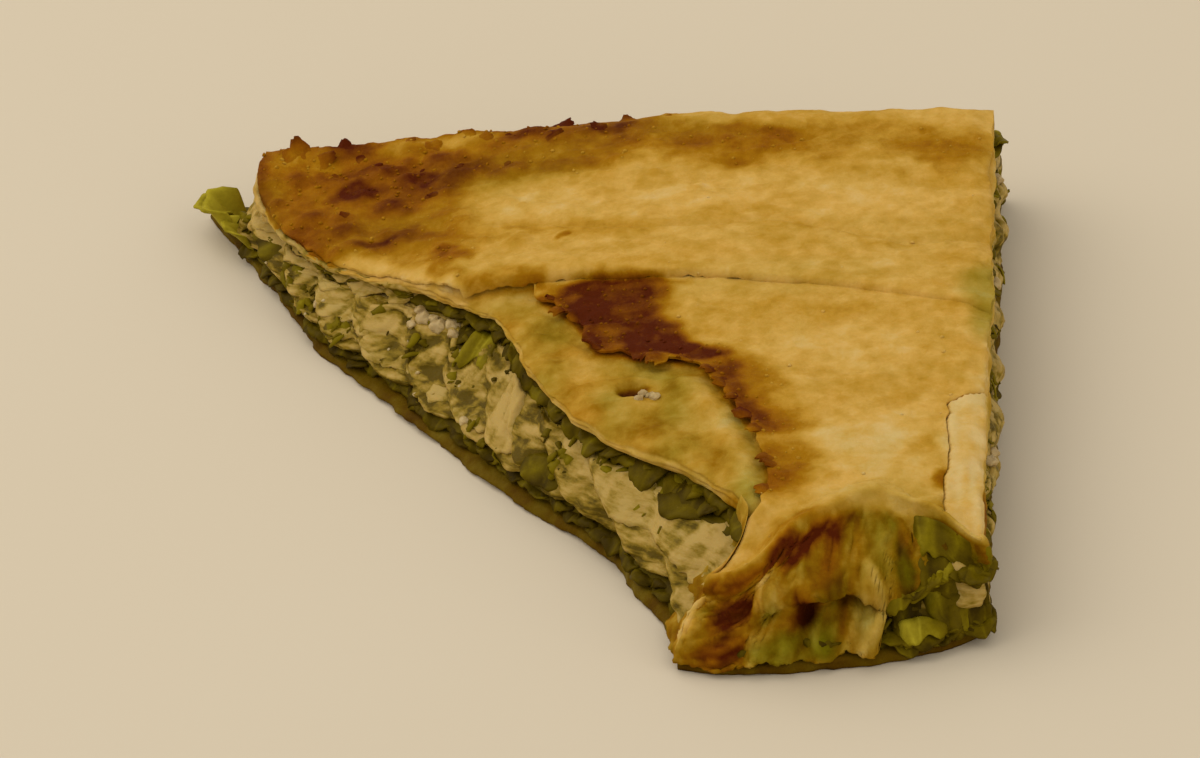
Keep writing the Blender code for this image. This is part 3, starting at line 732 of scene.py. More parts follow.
def layer_mesh(name, marks, layer, rows, relief, rise, pitches, marks_of):
    """One whole layer as a closed solid with a finely uneven side and upper face."""
    at = RIM_AT[None, :]
    part = np.linspace(0.0, 1.0, rows + 1)[:, None]
    x, y = rim_place(layer, at, part, relief(at, part))
    z = layer_height(layer, part, x, y)
    if rise:
        z = z + part * rise(x, y)
    columns = len(RIM_AT)
    faces = grid_faces(rows + 1, columns, closed=True)
    every = [np.stack((x, y, z), axis=-1).reshape(-1, 3)]
    count = (rows + 1) * columns
    for row, level, fineness in ((0, 0.0, pitches[:1]), (rows, 1.0, pitches[1:])):
        places, found = fill(np.stack((x[row], y[row]), axis=1), *fineness)
        inner_x, inner_y = places[columns:].T
        height = layer_height(layer, level, inner_x, inner_y)
        if rise and level:
            height = height + rise(inner_x, inner_y)
        number = [row * columns + i for i in range(columns)] + [count + i for i in range(len(inner_x))]
        faces += [tuple(number[corner] for corner in face) for face in found]
        every.append(np.stack((inner_x, inner_y, height), axis=-1))
        count += len(inner_x)
    points = np.concatenate(every)
    shape = Shape(*marks)
    shape.add(*points.T, faces, **marks_of(*points.T))
    return shape.mesh(name)


def finish_piece(name, mesh, finish, slot, loose=False, sharp=None):
    """Store a piece with its finish, let it ride with the slice and hide the solid that it stands in for, if
    it isn't loose.
    """
    piece = bpy.data.objects.new(name, mesh)
    bpy.context.scene.collection.objects.link(piece)
    mesh.materials.clear()
    mesh.materials.append(finish_for(finish))
    if sharp:
        mesh.set_sharp_from_angle(angle=sharp)
    nodes = () if loose else (slot,)
    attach(piece, "root")
    if nodes:
        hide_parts(*nodes)


def grid(rows, columns):
    """Two arrays that give each point of a grid its row's and its column's value."""
    return np.meshgrid(rows, columns, indexing="ij")


def along_rim(first, last, step=1.0 / FINE):
    """Places along the rim from one to another."""
    return np.linspace(first, last, max(int(abs(last - first) / step), 1) + 1)


def curve_through(points, step):
    """Evenly dense smooth path through the points."""
    found = []
    for index in range(len(points) - 1):
        count = max(int(math.dist(points[index], points[index + 1]) / step), 1)
        found += [curve_point(points, index, k / count) for k in range(count)]
    return np.array(found + [points[-1]])


def ragged_path(path, seed, coarse, fine):
    """Path pushed sideways by a coarse and a fine unevenness, each a size and a length."""
    along = np.gradient(path, axis=0)
    along = along / np.linalg.norm(along, axis=1, keepdims=True)
    push = coarse[0] * ripple(path[:, 0], path[:, 1], seed, coarse[1])
    push = push + fine[0] * ripple(path[:, 0], path[:, 1], seed + 3.3, fine[1])
    return path + np.stack((-along[:, 1], along[:, 0]), axis=1) * push[:, None]


# Where the plies of the crust start and end along the rim, and the strip on the
# right that the front one leaves bare
BACK_PLY_AT = (26.6, 91.3)
FRONT_PLY_AT = (-1.75, 27.35)
PLY_OVERHANG = 0.3
PLY_RAG = 0.28
TUCK = 2.5
STRIP_X = 52.3
STRIP_Y = (-20.0, -13.0)
STRIP_STEP = 0.2
COVERED_DEPTH = 0.75
OLIVE_SHARE = 0.6


def ply_rim(ends, seed):
    """Ragged outline of a ply along the rim."""
    at = along_rim(*ends)
    out = rippled(PLY_OVERHANG - 0.2, at, 0.0, (PLY_RAG, seed, 0.55), (0.2, seed + 1.0, 0.2),
                  (0.45, seed + 2.0, 1.7))
    out = out - 1.1 * smooth(-1.4, -0.4, at) * fade(12.0, 12.8, at)
    return np.stack(rim_place(TOP, at, 1.0, out), axis=1)


def back_ply_ring():
    rim = ply_rim(BACK_PLY_AT, 71.0)
    x = np.linspace(rim[-1, 0] + 0.4, rim[0, 0] - 0.4, 190)
    edge = rippled(fold_edge(x), x, 0.0, (0.22, 72.0, 3.0), (0.1, 73.0, 1.1))
    return np.concatenate((rim, np.stack((x, edge), axis=1)))


def strip_line(y):
    """Line along the right cut where the front ply ends and leaves a pale one bare."""
    line = rippled(STRIP_X, y, 0.0, (0.9, 76.0, 9.0), (0.4, 77.0, 2.6))
    return mix(line, RIGHT + 3.0, smooth(*STRIP_Y, y))


def front_ply_ring():
    rim = ply_rim(FRONT_PLY_AT, 74.0)
    line = strip_line(rim[:, 1])
    past = rim[:, 0] > line
    first = rim[np.argmax(past), 1]
    rim = np.stack((np.minimum(rim[:, 0], line), rim[:, 1]), axis=1)[~(past & (rim[:, 1] < first))]
    x = np.linspace(rim[-1, 0] - 0.4, TEAR[0][0] - 0.6, 120)
    tucked = np.stack((x, fold_edge(x) + TUCK), axis=1)
    tear = ragged_path(curve_through(TEAR, 0.35), 75.0, (0.9, 3.4), (0.4, 1.1))
    return np.concatenate((rim, tucked, tear))


def strip(x, y):
    return smooth(-0.3, 0.4, x - strip_line(y))


def bare(x, y):
    """1 where a lower ply lies bare, by the tear or along the right cut, 0 where it is covered."""
    distance, side = to_path(x, y, TEAR)
    torn = np.where(side < 0.0, distance, -distance)
    return np.maximum(smooth(-0.3, 0.7, torn) * smooth(-0.2, 0.8, fold_edge(x) - y), strip(x, y))


def body_rise(x, y):
    """Height of the crust's solid body over its smooth face."""
    behind = y - fold_edge(x)
    under = crust_face(x, y) - interface(TOP + 1, x, y) - COVERED_DEPTH
    under = under + ply_lap(x, y) * smooth(0.6, 2.6, behind)
    open_face = ply_top("low", x, y) - interface(TOP + 1, x, y)
    return mix(under, open_face, bare(x, y))


# Where the greens show through the crust, in marks like those of the bake
PLAIN_OLIVE = 0.12
OLIVE_WAVE = (0.12, 83.0, 9.0, 0.3)
OLIVE_MARKS = (
    (46.0, -43.0, 13.0, 8.0, 0.3),
    (54.0, -48.0, 8.0, 5.0, 0.3),
    (-12.0, 46.0, 18.0, 8.0, 0.42),
    (8.0, 52.0, 20.0, 6.0, 0.3),
    (-28.0, 33.0, 12.0, 8.0, 0.35),
    (-48.0, 44.0, 7.0, 9.0, 0.5),
    (57.0, 6.0, 5.5, 12.0, 0.85),
    (20.0, -32.0, 9.0, 10.0, 0.35),
    (30.0, 12.0, 26.0, 6.0, 0.18),
)


def olive_field(x, y):
    """How much the greens show through each place of the crust."""
    far_x = rippled(x, x, y, (2.0, 81.0, 7.0))
    far_y = rippled(y, x, y, (2.0, 82.0, 6.0))
    return with_marks(rippled(PLAIN_OLIVE, x, y, OLIVE_WAVE), far_x, far_y, OLIVE_MARKS, 0.3)


def bake_and_olive(bake, olive):
    return {"bake": held(bake), "olive": OLIVE_SHARE * held(olive)}


def crust_marks(x, y):
    return bake_and_olive(bake_field(x, y), olive_field(x, y))


def body_marks(x, y, z):
    """Bake and olive of the crust's body: paler on the bare ply and on the cut sides, and darker and greener
    in the pit as painted shade.
    """
    face = bare(x, y)
    tongue_bake = rippled(0.39, x, y, (0.22, 84.0, 5.0), (0.12, 85.0, 1.6))
    tongue_bake = tongue_bake - 0.16 * fade(0.0, 2.4, to_path(x, y, LOBE)[0])
    near = np.hypot(x - PIT[0], (y - PIT[1]) * 1.3) / PIT_RADIUS * (1.0 + 0.5 * ripple(x, y, 85.5, 2.2))
    pit = fade(0.4, 1.0, near)
    strip_bake = 0.06 + 0.1 * ripple(x, y, 84.0, 5.0) + 0.16 * ripple(x * 3.0, y * 0.4, 84.5, 3.0)
    # The pit is baked darker and greener: painted shade in the hole
    face_bake = mix(tongue_bake + 0.6 * pit, strip_bake, strip(x, y))
    bake = mix(bake_field(x, y), face_bake, face)
    tongue_olive = 0.5 + 0.8 * ripple(x, y, 86.0, 6.0) + 0.5 * pit
    olive = mix(olive_field(x, y), mix(tongue_olive, 0.1, strip(x, y)), face)
    depth = interface(TOP + 1, x, y) + np.minimum(body_rise(x, y), 0.0) - z
    side = smooth(0.15, 0.7, depth)
    side_bake = 0.24 + 0.16 * ripple(x, y, 87.0, 4.0) + 0.1 * ripple(z * 1.6, x, 88.0, 1.4)
    side_bake = side_bake + 0.4 * smooth(50.0, 56.0, y) + 0.42 * smooth(34.0, 42.0, -y)
    side_olive = 0.42 + 0.3 * ripple(x, y, 89.0, 5.0)
    return bake_and_olive(mix(bake, side_bake, side), mix(olive, side_olive, side))


def exposed(x, y):
    """True near the bare ply, where the crust's body needs a fine mesh."""
    return bare(x, y) > 0.01


def crust_body_mesh():
    """Closed body of the crust, with the edges of its plies as ribs along its side."""
    def ribs(at, part):
        wave = part * 3.0 + 0.8 * ripple(at * 0.6, part, 91.0, 2.0) + 0.3 * ripple(at, part * 2.0, 90.0, 0.8)
        rib = np.abs(np.sin(math.pi * wave)) ** 0.6 - 0.7
        strength = 0.75 + 1.2 * ripple(at, part, 94.0, 2.6)
        return 0.36 * rib * strength + 0.34 * rough(at * 3.0, part * 3.0, 92.0, 2.4)

    return layer_mesh("crust_body", ("bake", "olive"), TOP, 14, ribs, body_rise,
                      (7.0, 3.0, 0.5, exposed), body_marks)


def ply_mesh(name, ring, ply, thickness):
    """Thin closed ply over an outline, with a finer upper than lower face."""
    places, faces = fill(ring, PLY_PITCH)
    x, y = places.T
    z = ply_top(ply, x, y)
    rim = len(ring)
    z[:rim] -= thickness * RIM_THINNING
    under, under_faces = fill(ring, UNDER_PITCH)
    first = len(places)
    low_z = ply_top(ply, *under.T) - thickness
    faces = faces + [tuple(first + corner for corner in reversed(face)) for face in under_faces]
    faces += [(i, first + i, first + (i + 1) % rim, (i + 1) % rim) for i in range(rim)]
    every_x, every_y = np.concatenate((places, under)).T
    shape = Shape("bake", "olive")
    shape.add(every_x, every_y, np.concatenate((z, low_z)), faces, **crust_marks(every_x, every_y))
    return shape.mesh(name)


def flake_sheet(shape, x, y, heading, length, width, rise, seed):
    """Thin dry chip that lifts off the crust, ragged and a little curled."""
    along, side = grid(np.linspace(0.0, 1.0, 8), np.linspace(-1.0, 1.0, 7))
    half = width / 2 * (1.0 - 0.62 * along * along) * (1.0 + 0.3 * ripple(along * 3.0, side, seed, 1.0))
    ahead = length * along * (1.0 + 0.22 * ripple(side * 2.2, seed, 93.0, 1.0))
    spot_x = x + math.cos(heading) * ahead - math.sin(heading) * half * side
    spot_y = y + math.sin(heading) * ahead + math.cos(heading) * half * side
    foot = ply_top("back" if y > FOLD_Y else "front", spot_x, spot_y) - 0.22
    spot_z = foot + rise * along ** 1.4 - 0.16 * width * side * side * along
    spot_z = spot_z + 0.16 * ripple(spot_x, spot_y, seed, 1.1)
    marks = crust_marks(spot_x, spot_y)
    marks["bake"] = held(marks["bake"] + 0.12 * along + 0.1)
    add_thin_grid(shape, spot_x, spot_y, spot_z, 0.26, **marks)


# Large chips at the left end: place, heading, length, width and rise
CHIPS = (
    (-41.5, 54.5, 2.0, 2.6, 3.2, 1.7),
    (-39.5, 52.5, 0.6, 3.2, 2.6, 0.9),
)
RIM_CHIPS = 16
TEAR_CHIPS = 16
LOOSE_CHIPS = 8


def flakes_mesh():
    """Chips of dry pastry on the browned rim, along the tear and at the tip's edge."""
    shape = Shape("bake", "olive")
    draw = random.Random(5)
    for number, chip in enumerate(CHIPS):
        flake_sheet(shape, *chip, 400.0 + number)
    for number in range(RIM_CHIPS):
        x = mix(-44.0, 12.0, (number + draw.uniform(0.1, 0.9)) / RIM_CHIPS)
        y = BACK - draw.uniform(2.6, 6.0)
        flake_sheet(shape, x, y, draw.uniform(0.3, 2.9), draw.uniform(1.4, 2.8), draw.uniform(2.4, 4.6),
                    draw.uniform(0.2, 0.8), 420.0 + number)
    path = curve_through(TEAR, 0.5)
    for number in range(TEAR_CHIPS):
        index = int((number + draw.uniform(0.1, 0.9)) * (len(path) - 8) / TEAR_CHIPS) + 2
        run = path[index + 1] - path[index]
        inward = math.atan2(run[0], -run[1])
        spot = path[index] + np.array((math.cos(inward), math.sin(inward))) * draw.uniform(0.6, 1.6)
        flake_sheet(shape, spot[0], spot[1], inward + math.pi + draw.uniform(-0.5, 0.5),
                    draw.uniform(1.4, 2.8), draw.uniform(1.8, 3.6), draw.uniform(0.35, 1.0), 460.0 + number)
    for number in range(LOOSE_CHIPS):
        x = draw.uniform(-40.0, -4.0)
        flake_sheet(shape, x, draw.uniform(38.0, 52.0), draw.uniform(0.0, math.tau), draw.uniform(1.2, 2.4),
                    draw.uniform(1.2, 2.6), draw.uniform(0.2, 0.7), 490.0 + number)
    return shape.mesh("crust_flakes")


def outward(at):
    """Outward direction at a place of the rim, as a unit vector."""
    out_x, out_y = at_rim(at)[4:]
    length = math.hypot(out_x, out_y)
    return float(out_x) / length, float(out_y) / length


# Leaves that come out of the greens: stretch of the rim, how many, how far they
# reach, how wide they are, how far they hang and their tone
UPPER_LEAVES = (
    (75.0, 90.0, 15, (0.1, 0.8), (4.0, 8.0), (0.0, 0.5), (0.15, 0.6)),
    (90.0, 96.0, 8, (0.3, 1.3), (4.0, 7.0), (0.3, 1.6), (0.05, 0.4)),
    (96.0, 105.0, 16, (0.8, 2.0), (4.0, 7.0), (0.8, 2.4), (0.05, 0.4)),
    (105.0, 110.5, 16, (0.8, 2.8), (4.0, 7.5), (0.6, 2.4), (0.1, 0.45)),
    (7.8, 12.0, 12, (0.6, 2.2), (4.0, 7.0), (0.3, 2.0), (0.15, 0.6)),
    (12.0, 42.0, 32, (0.5, 1.9), (4.0, 8.0), (0.0, 1.2), (0.1, 0.6)),
    (42.0, 75.0, 14, (0.1, 0.8), (4.0, 7.0), (0.0, 0.4), (0.1, 0.5)),
)
LOWER_LEAVES = (
    (76.0, 111.5, 40, (0.4, 1.3), (4.0, 8.0), (0.3, 1.1), (0.0, 0.25)),
    (0.5, 8.0, 16, (0.0, 0.4), (3.5, 6.0), (0.9, 1.8), (0.0, 0.25)),
    (8.0, 12.0, 12, (1.0, 2.4), (4.0, 6.5), (0.3, 1.3), (0.0, 0.4)),
    (12.0, 42.0, 24, (0.2, 1.2), (4.0, 7.0), (0.0, 0.4), (0.1, 0.55)),
    (42.0, 75.0, 10, (0.0, 0.5), (3.5, 6.0), (0.0, 0.2), (0.1, 0.5)),
)
LEAF_INSET = 3.2
LEAF_THICKNESS = 0.3

# Bright leaf at the left point, in three: how far past the corner, reach, width,
# turn, tone, seed and rise
POINT_LEAVES = (
    (2, 3.6, 7.0, -0.55, 1.0, 51.0, 4.4),
    (1.2, 2.8, 6.0, -0.2, 0.9, 57.0, 2.6),
    (3.2, 2.4, 6.0, -0.7, 0.8, 59.0, 2.6),
)


def leaf_sheet(shape, layer, at, reach, width, turn, hang, tone, seed,
               level=0.75, rise=0.0, inset=LEAF_INSET):
    """Limp leaf that comes out of a layer of greens, with a wavy edge and soft creases."""
    out_x, out_y = outward(at)
    root_x, root_y = rim_place(layer, at, 0.5)
    ahead_x = out_x * math.cos(turn) - out_y * math.sin(turn)
    ahead_y = out_x * math.sin(turn) + out_y * math.cos(turn)
    along, side = grid(np.linspace(0.0, 1.0, 12), np.linspace(-1.0, 1.0, 17))
    arch = np.sqrt(held(1.0 - np.abs(side) ** 2.6))
    wavy = 1.0 + 0.5 * ripple(side * 1.1, 0.0, seed + 1.5, 1.0)
    wavy = wavy + 0.22 * ripple(side * 3.4, 0.0, seed + 1.7, 1.0)
    far = (inset + reach * wavy) * along * (0.35 + 0.65 * arch) - inset
    across = width / 2 * side * mix(0.75, 1.0, along) + 0.3 * ripple(along * 2.0, side, seed + 2.5, 1.0)
    x = root_x + ahead_x * far - ahead_y * across
    y = root_y + ahead_y * far + ahead_x * across
    z = layer_height(layer, level, x, y)
    over = np.maximum(far, 0.0) / max(reach, 0.1)
    z = z - hang * over ** 1.4 + rise * smooth(0.3, 1.0, along)
    ruffle = ripple(across, along * 1.5, seed + 3.0, 2.1)
    ruffle = ruffle + 0.5 * ripple(across, along * 3.0, seed + 3.5, 0.9)
    crumple = rippled(0.0, x, y, (0.4, seed, 2.4), (0.2, seed + 4.0, 1.1))
    z = z + (crumple + 0.75 * ruffle * along) * smooth(0.1, 0.5, along)
    vein = 0.2 * fade(0.0, 0.14, np.abs(side + 0.3 * math.sin(seed * 2.0)))
    # Brighter where the ruffles rise: painted light on their crests
    value = tone + 0.3 * ripple(x, y, seed + 6.0, 2.2) + vein + 0.15 * ruffle
    add_thin_grid(shape, x, y, z, LEAF_THICKNESS, tone=held(value))


def leaves_along(shape, layer, zones, draw):
    """Leaves of uneven size along stretches of the rim."""
    share = bpy.context.scene.borek_sizes.leaves
    for first, last, count, reach, width, hang, tone in zones:
        count = round(count * share)
        for number in range(count):
            at = mix(first, last, (number + draw.uniform(0.0, 1.0)) / count)
            leaf_sheet(shape, layer, at, draw.uniform(*reach), draw.uniform(*width), draw.uniform(-0.5, 0.5),
                       draw.uniform(*hang), draw.uniform(*tone), draw.uniform(0.0, 900.0),
                       level=draw.uniform(0.4, 0.95), inset=draw.uniform(1.6, 3.6))


def greens_marks(seed):
    """Tone of a bed of greens."""
    def marks(x, y, z):
        tone = 0.25 + 0.3 * ripple(x, y, seed, 3.6) + 0.22 * ripple(x + z, y - z, seed + 1.0, 1.5)
        return {"tone": held(tone)}

    return marks


def bed_relief(seed, rise):
    """Lumpy side of a bed of greens."""
    def relief(at, part):
        lumps = rough(at * RIM_STEP, part * 3.0, seed, 2.6)
        layers = 0.5 * ripple(at * 0.8, part * 6.0, seed + 2.0, 1.0)
        return rise * (lumps + layers) - WRAP_ROOM * wrapped(at)

    return relief


def outside_cap(x, y):
    """True near and outside the crust's edge."""
    return (outside_edge(x, y) > 0.0) | (edge_depth(x, y) < 2.0)


def upper_greens_mesh():
    def rise(x, y):
        lumps = 0.55 * rough(x, y, 131.0, 3.0) + 0.3 * np.abs(ripple(x, y, 132.0, 1.6))
        return lumps * smooth(0.0, 2.5, outside_edge(x, y))

    return layer_mesh("upper_greens_bed", ("tone",), UPPER, 8, bed_relief(133.0, 0.5), rise,
                      (6.0, 6.0, 0.55, outside_cap), greens_marks(134.0))


def upper_leaves_mesh():
    shape = Shape("tone")
    leaves_along(shape, UPPER, UPPER_LEAVES, random.Random(21))
    add_sheets(shape, over_front, TIP_LEAVES, leaf_marks, LEAF_THICKNESS, 701.0, 11.0)
    add_sheets(shape, over_face, BAND_LEAVES, leaf_marks, LEAF_THICKNESS, 801.0, 11.0)
    return shape.mesh("upper_leaves")


def lower_greens_mesh():
    return layer_mesh("lower_greens_bed", ("tone",), LOWER, 7, bed_relief(141.0, 0.42), None,
                      (7.0, 7.0), greens_marks(142.0))


def lower_leaves_mesh():
    shape = Shape("tone")
    leaves_along(shape, LOWER, LOWER_LEAVES, random.Random(22))
    for past, reach, width, turn, tone, seed, rise in POINT_LEAVES:
        leaf_sheet(shape, LOWER, CUT_START + past, reach, width, turn, 0.0, tone, seed, rise=rise)
    return shape.mesh("lower_leaves")


def bottom_mesh():
    """Thin toasted base with a flat foot and a crumbly edge."""
    def crumbly(at, part):
        return 0.3 * rough(at * RIM_STEP, part * 2.0, 151.0, 2.2) + 0.12 * ripple(at, part * 9.0, 152.0, 0.7)

    def marks(x, y, z):
        bake = rippled(0.56, x, y, (0.26, 153.0, 7.0), (0.25, 154.0, 2.0))
        # More baked in its lowest fifth of a millimetre
        return {"bake": held(bake + 0.2 * (z < 0.2))}

    return layer_mesh("base_crust", ("bake",), BOTTOM, 6, crumbly, None, (6.0, 6.0), marks)


# Middle pastry: a lumpy filling under the layered face of the dough
HEART_DEPTH = 1.1
FACE_HEIGHT = 6.8
WRAP_ROOM = 1.7


def heart_mesh():
    """Filling between the plies: dark where greens fill the gaps, creased at the back."""
    def relief(at, part):
        turn = np.mod(at, STATIONS)
        back = smooth(BACK_START - 1.0, BACK_START + 1.0, turn)
        back = back * fade(CUT_START - 1.0, CUT_START + 1.0, turn)
        lumps = 0.7 * rough(at * RIM_STEP, part * FACE_HEIGHT, 161.0, 3.0)
        creases = 0.45 * ripple(at * 0.5, part * 7.0, 162.0, 1.0)
        creases = creases + 0.3 * ripple(at * 1.3, part * 12.0, 163.0, 1.0)
        return mix(lumps - HEART_DEPTH - WRAP_ROOM * wrapped(at), creases - 0.1, back)

    def rise(x, y):
        return 0.5 * rough(x, y, 164.0, 3.0) * smooth(-1.0, 1.5, outside_edge(x, y)) - 0.3

    def marks(x, y, z):
        back = smooth(52.0, 56.0, y)
        tone = 0.72 + 0.3 * ripple(x, y, 165.0, 5.0) + 0.25 * ripple(x - z, y + z, 166.0, 1.8)
        bake = 0.5 + 0.3 * ripple(x, z * 2.0, 167.0, 6.0) + 0.15 * ripple(x * 0.5, z * 3.0, 168.0, 1.5)
        return {"tone": held(mix(tone, 0.2, back)), "bake": held(back * bake)}

    return layer_mesh("pastry_heart", ("tone", "bake"), MIDDLE, 22, relief, rise,
                      (6.0, 6.0, 0.6, outside_cap), marks)


LEDGE = 0.38
LEDGE_REACH = 2.2
DRAPE_THICKNESS = 0.5


def over_face(at, down, out):
    """Point over the ledge and the face of the middle pastry, from the crust (0) to the foot (1)."""
    edge_x, edge_y, out_x, out_y = at_rim(at)[2:]
    rim_x, rim_y = rim_place(MIDDLE, at, 1.0)
    share = held(down / LEDGE)
    ledge_x = mix(edge_x - LEDGE_REACH * out_x, rim_x, share)
    ledge_y = mix(edge_y - LEDGE_REACH * out_y, rim_y, share)
    ledge_z = layer_height(MIDDLE, 1.0, ledge_x, ledge_y)
    part = 1.0 - held((down - LEDGE) / (1.0 - LEDGE))
    side_x, side_y = rim_place(MIDDLE, at, part)
    side_z = layer_height(MIDDLE, part, side_x, side_y)
    below = smooth(LEDGE - 0.16, LEDGE + 0.16, down)
    step = np.where(down < LEDGE, 0.0, 1.0)
    x = mix(ledge_x, side_x, step) + out_x * out * below
    y = mix(ledge_y, side_y, step) + out_y * out * below
    return x, y, mix(ledge_z, side_z, step) + out * (1.0 - 0.75 * below)


# Sheets of dough that hang over the cut and the front: stretch of the rim, from
# where down to where, how far they stand out, length and slack of their folds,
# tone and bake
FACE_LENGTH = 13.0
DRAPES = (
    (75.6, 83.6, 0.30, 0.44, 0.30, 2.6, 0.25, 0.30, 0.0),
    (78.8, 87.0, 0.50, 0.62, 0.30, 2.4, 0.25, 0.42, 0.0),
    (84.2, 90.4, 0.66, 0.80, 0.30, 2.6, 0.25, 0.44, 0.0),
    (91.6, 96.4, 0.66, 0.82, 0.30, 2.8, 0.30, 0.50, 0.0),
    (96.4, 98.6, 0.24, 0.78, 0.75, 2.2, 0.40, 0.04, 0.0),
    (102.6, 111.0, 0.10, 0.62, 0.45, 4.6, 0.45, 0.14, 0.0),
    (14.0, 22.0, 0.28, 0.46, 0.35, 3.4, 0.30, 0.36, 0.0),
    (19.0, 29.0, 0.54, 0.70, 0.35, 3.4, 0.30, 0.42, 0.0),
    (27.4, 36.0, 0.24, 0.42, 0.35, 3.6, 0.30, 0.30, 0.0),
    (32.0, 40.0, 0.60, 0.78, 0.35, 3.2, 0.30, 0.42, 0.0),
)
SIDE_SHEETS = (
    (78.2, 87.8, 0.05, 0.36, 0.22, 3.4, 0.28, 0.34, 0.0),
    (73.4, 77.2, 0.04, 0.62, 0.35, 4.0, 0.35, 0.20, 0.14),
    (10.4, 12.0, 0.33, 0.70, 1.10, 3.0, 0.30, 0.22, 0.0),
)

# Layered face of the dough, place by place along the rim: tone at its top and
# at its foot, strength of its layers and of its upright folds
FACE_TABLE = (
    (12.0, 0.30, 0.50, 0.8, 0.4),
    (27.0, 0.40, 0.55, 1.0, 0.3),
    (42.0, 0.30, 0.45, 0.9, 0.4),
    (73.0, 0.22, 0.45, 0.5, 0.3),
    (76.0, 0.36, 0.60, 0.8, 0.2),
    (80.0, 0.28, 0.52, 1.0, 0.3),
    (84.0, 0.36, 0.56, 1.0, 0.3),
    (88.0, 0.34, 0.56, 1.0, 0.3),
    (91.0, 0.40, 0.66, 0.9, 0.4),
    (94.0, 0.60, 0.60, 0.8, 0.5),
    (96.2, 0.30, 0.42, 0.5, 0.7),
    (97.6, 0.06, 0.36, 0.3, 0.8),
    (99.0, 0.50, 0.55, 0.6, 0.7),
    (100.4, 0.66, 0.88, 0.7, 0.7),
    (102.0, 0.26, 0.66, 0.3, 0.8),
    (104.0, 0.16, 0.62, 0.2, 0.8),
    (108.0, 0.10, 0.40, 0.1, 0.7),
    (110.5, 0.18, 0.40, 0.1, 0.7),
    (112.6, 0.30, 0.40, 0.3, 0.5),
)

# Gaps in the face, painted darker, partly as greens and partly as shade: place along the rim, how far down,
# radius and depth
FACE_GAPS = (
    (89.5, 0.54, 1.5, 1.5),
    (92.6, 0.20, 2.6, 1.4),
    (100.3, 0.80, 2.0, 1.3),
    (81.4, 0.36, 1.3, 1.0),
    (78.0, 0.72, 1.5, 1.1),
    (86.0, 0.62, 1.4, 0.9),
    (95.4, 0.55, 1.3, 0.9),
    (103.9, 0.92, 1.6, 0.9),
    (106.6, 0.86, 1.3, 0.7),
    (17.0, 0.60, 1.6, 1.1),
    (24.0, 0.40, 1.8, 1.2),
    (33.5, 0.55, 1.6, 1.1),
)


def swells(s, level, length, spots, uneven, seed, grain):
    """Round rises at spots, which say place along the rim, how far down, radius and size."""
    wavy = 1.0 + uneven * ripple(s, level * length, seed, grain)
    for spot_at, spot_level, radius, size in spots:
        away = np.hypot(s - spot_at * RIM_STEP, (level - spot_level) * length) / radius * wavy
        yield size * np.exp(-away * away)


def face_skin(shape, first, last, rows, step, seed):
    """Soft face of the dough: wavy layers, upright folds and lumps, with gaps stained green, painted shade
    in its grooves, gaps and cracks, and painted light on its lumps and upright folds.
    """
    down, at = grid(np.linspace(0.04, 0.985, rows), along_rim(first, last, step))
    table = np.array(FACE_TABLE)
    high, low, layers, folded = (np.interp(at, table[:, 0], table[:, k]) for k in range(1, 5))
    s = at * RIM_STEP
    v = down * FACE_LENGTH
    bend = rippled(v, s, v, (0.9, seed, 9.0), (0.4, seed + 1.0, 3.4))
    patch = held(0.6 + 0.9 * ripple(s, v, seed + 3.0, 6.0)) * layers
    lip = 0.0
    for pitch, share, drift in ((2.5, 0.7, 2.0), (1.1, 0.3, 2.5)):
        turn = bend / pitch + 0.7 * ripple(s, 0.0, seed + drift, 13.0)
        turn = turn + 0.3 * ripple(s, v, seed + drift, 5.0)
        part = turn - np.floor(turn)
        lip = lip + share * smooth(0.0, 0.7, part) * fade(0.84, 1.0, part)
    flat = 1.0 - 0.6 * folded
    lumps = rippled(0.0, s, v, (0.42, seed + 4.0, 4.2), (0.3, seed + 5.0, 1.9)) * flat
    upright = ripple(s + 0.9 * v, 0.25 * v, seed + 6.0, 4.4)
    upright = upright + 0.4 * ripple(s + 0.6 * v, 0.4 * v, seed + 7.0, 2.0)
    crack = held(1.0 - np.abs(ripple(s * 0.3, bend, seed + 13.0, 2.2)) * 6.0) ** 2 * flat
    fine = rippled(0.0, s, v, (0.14, seed + 8.0, 0.9), (0.08, seed + 8.5, 0.5)) - 0.35 * crack
    out = patch * (lip - 0.5) + lumps + 0.8 * folded * upright + fine + 0.1
    gap = 0.0
    for swell in swells(s, down, FACE_LENGTH, FACE_GAPS, 0.35, seed + 9.0, 1.7):
        gap = np.maximum(gap, swell)
    x, y, z = over_face(at, down, (out - gap) * smooth(0.0, 0.3, down))
    # Darker in the grooves between the lips and in the gaps: partly greens there, partly painted shade
    tone = mix(high, low, smooth(0.35, 0.85, down)) + 0.7 * patch * (0.5 - lip) + 0.55 * gap
    streak = ripple(s * 0.35, bend, seed + 10.0, 1.5) + 0.5 * ripple(s * 0.6, bend, seed + 12.0, 0.7)
    # Darker along the cracks: painted shade in them
    streak = streak + 0.6 * crack
    tone = tone + 0.75 * streak * (1.0 - 0.4 * folded) + 0.3 * ripple(s, v, seed + 11.0, 3.0) + 0.06
    # Paler where upright folds and lumps stand out: painted light on them
    tone = tone - 0.3 * folded * upright - 0.3 * lumps
    add_thin_grid(shape, x, y, z, DRAPE_THICKNESS, tone=held(tone), bake=0.0)
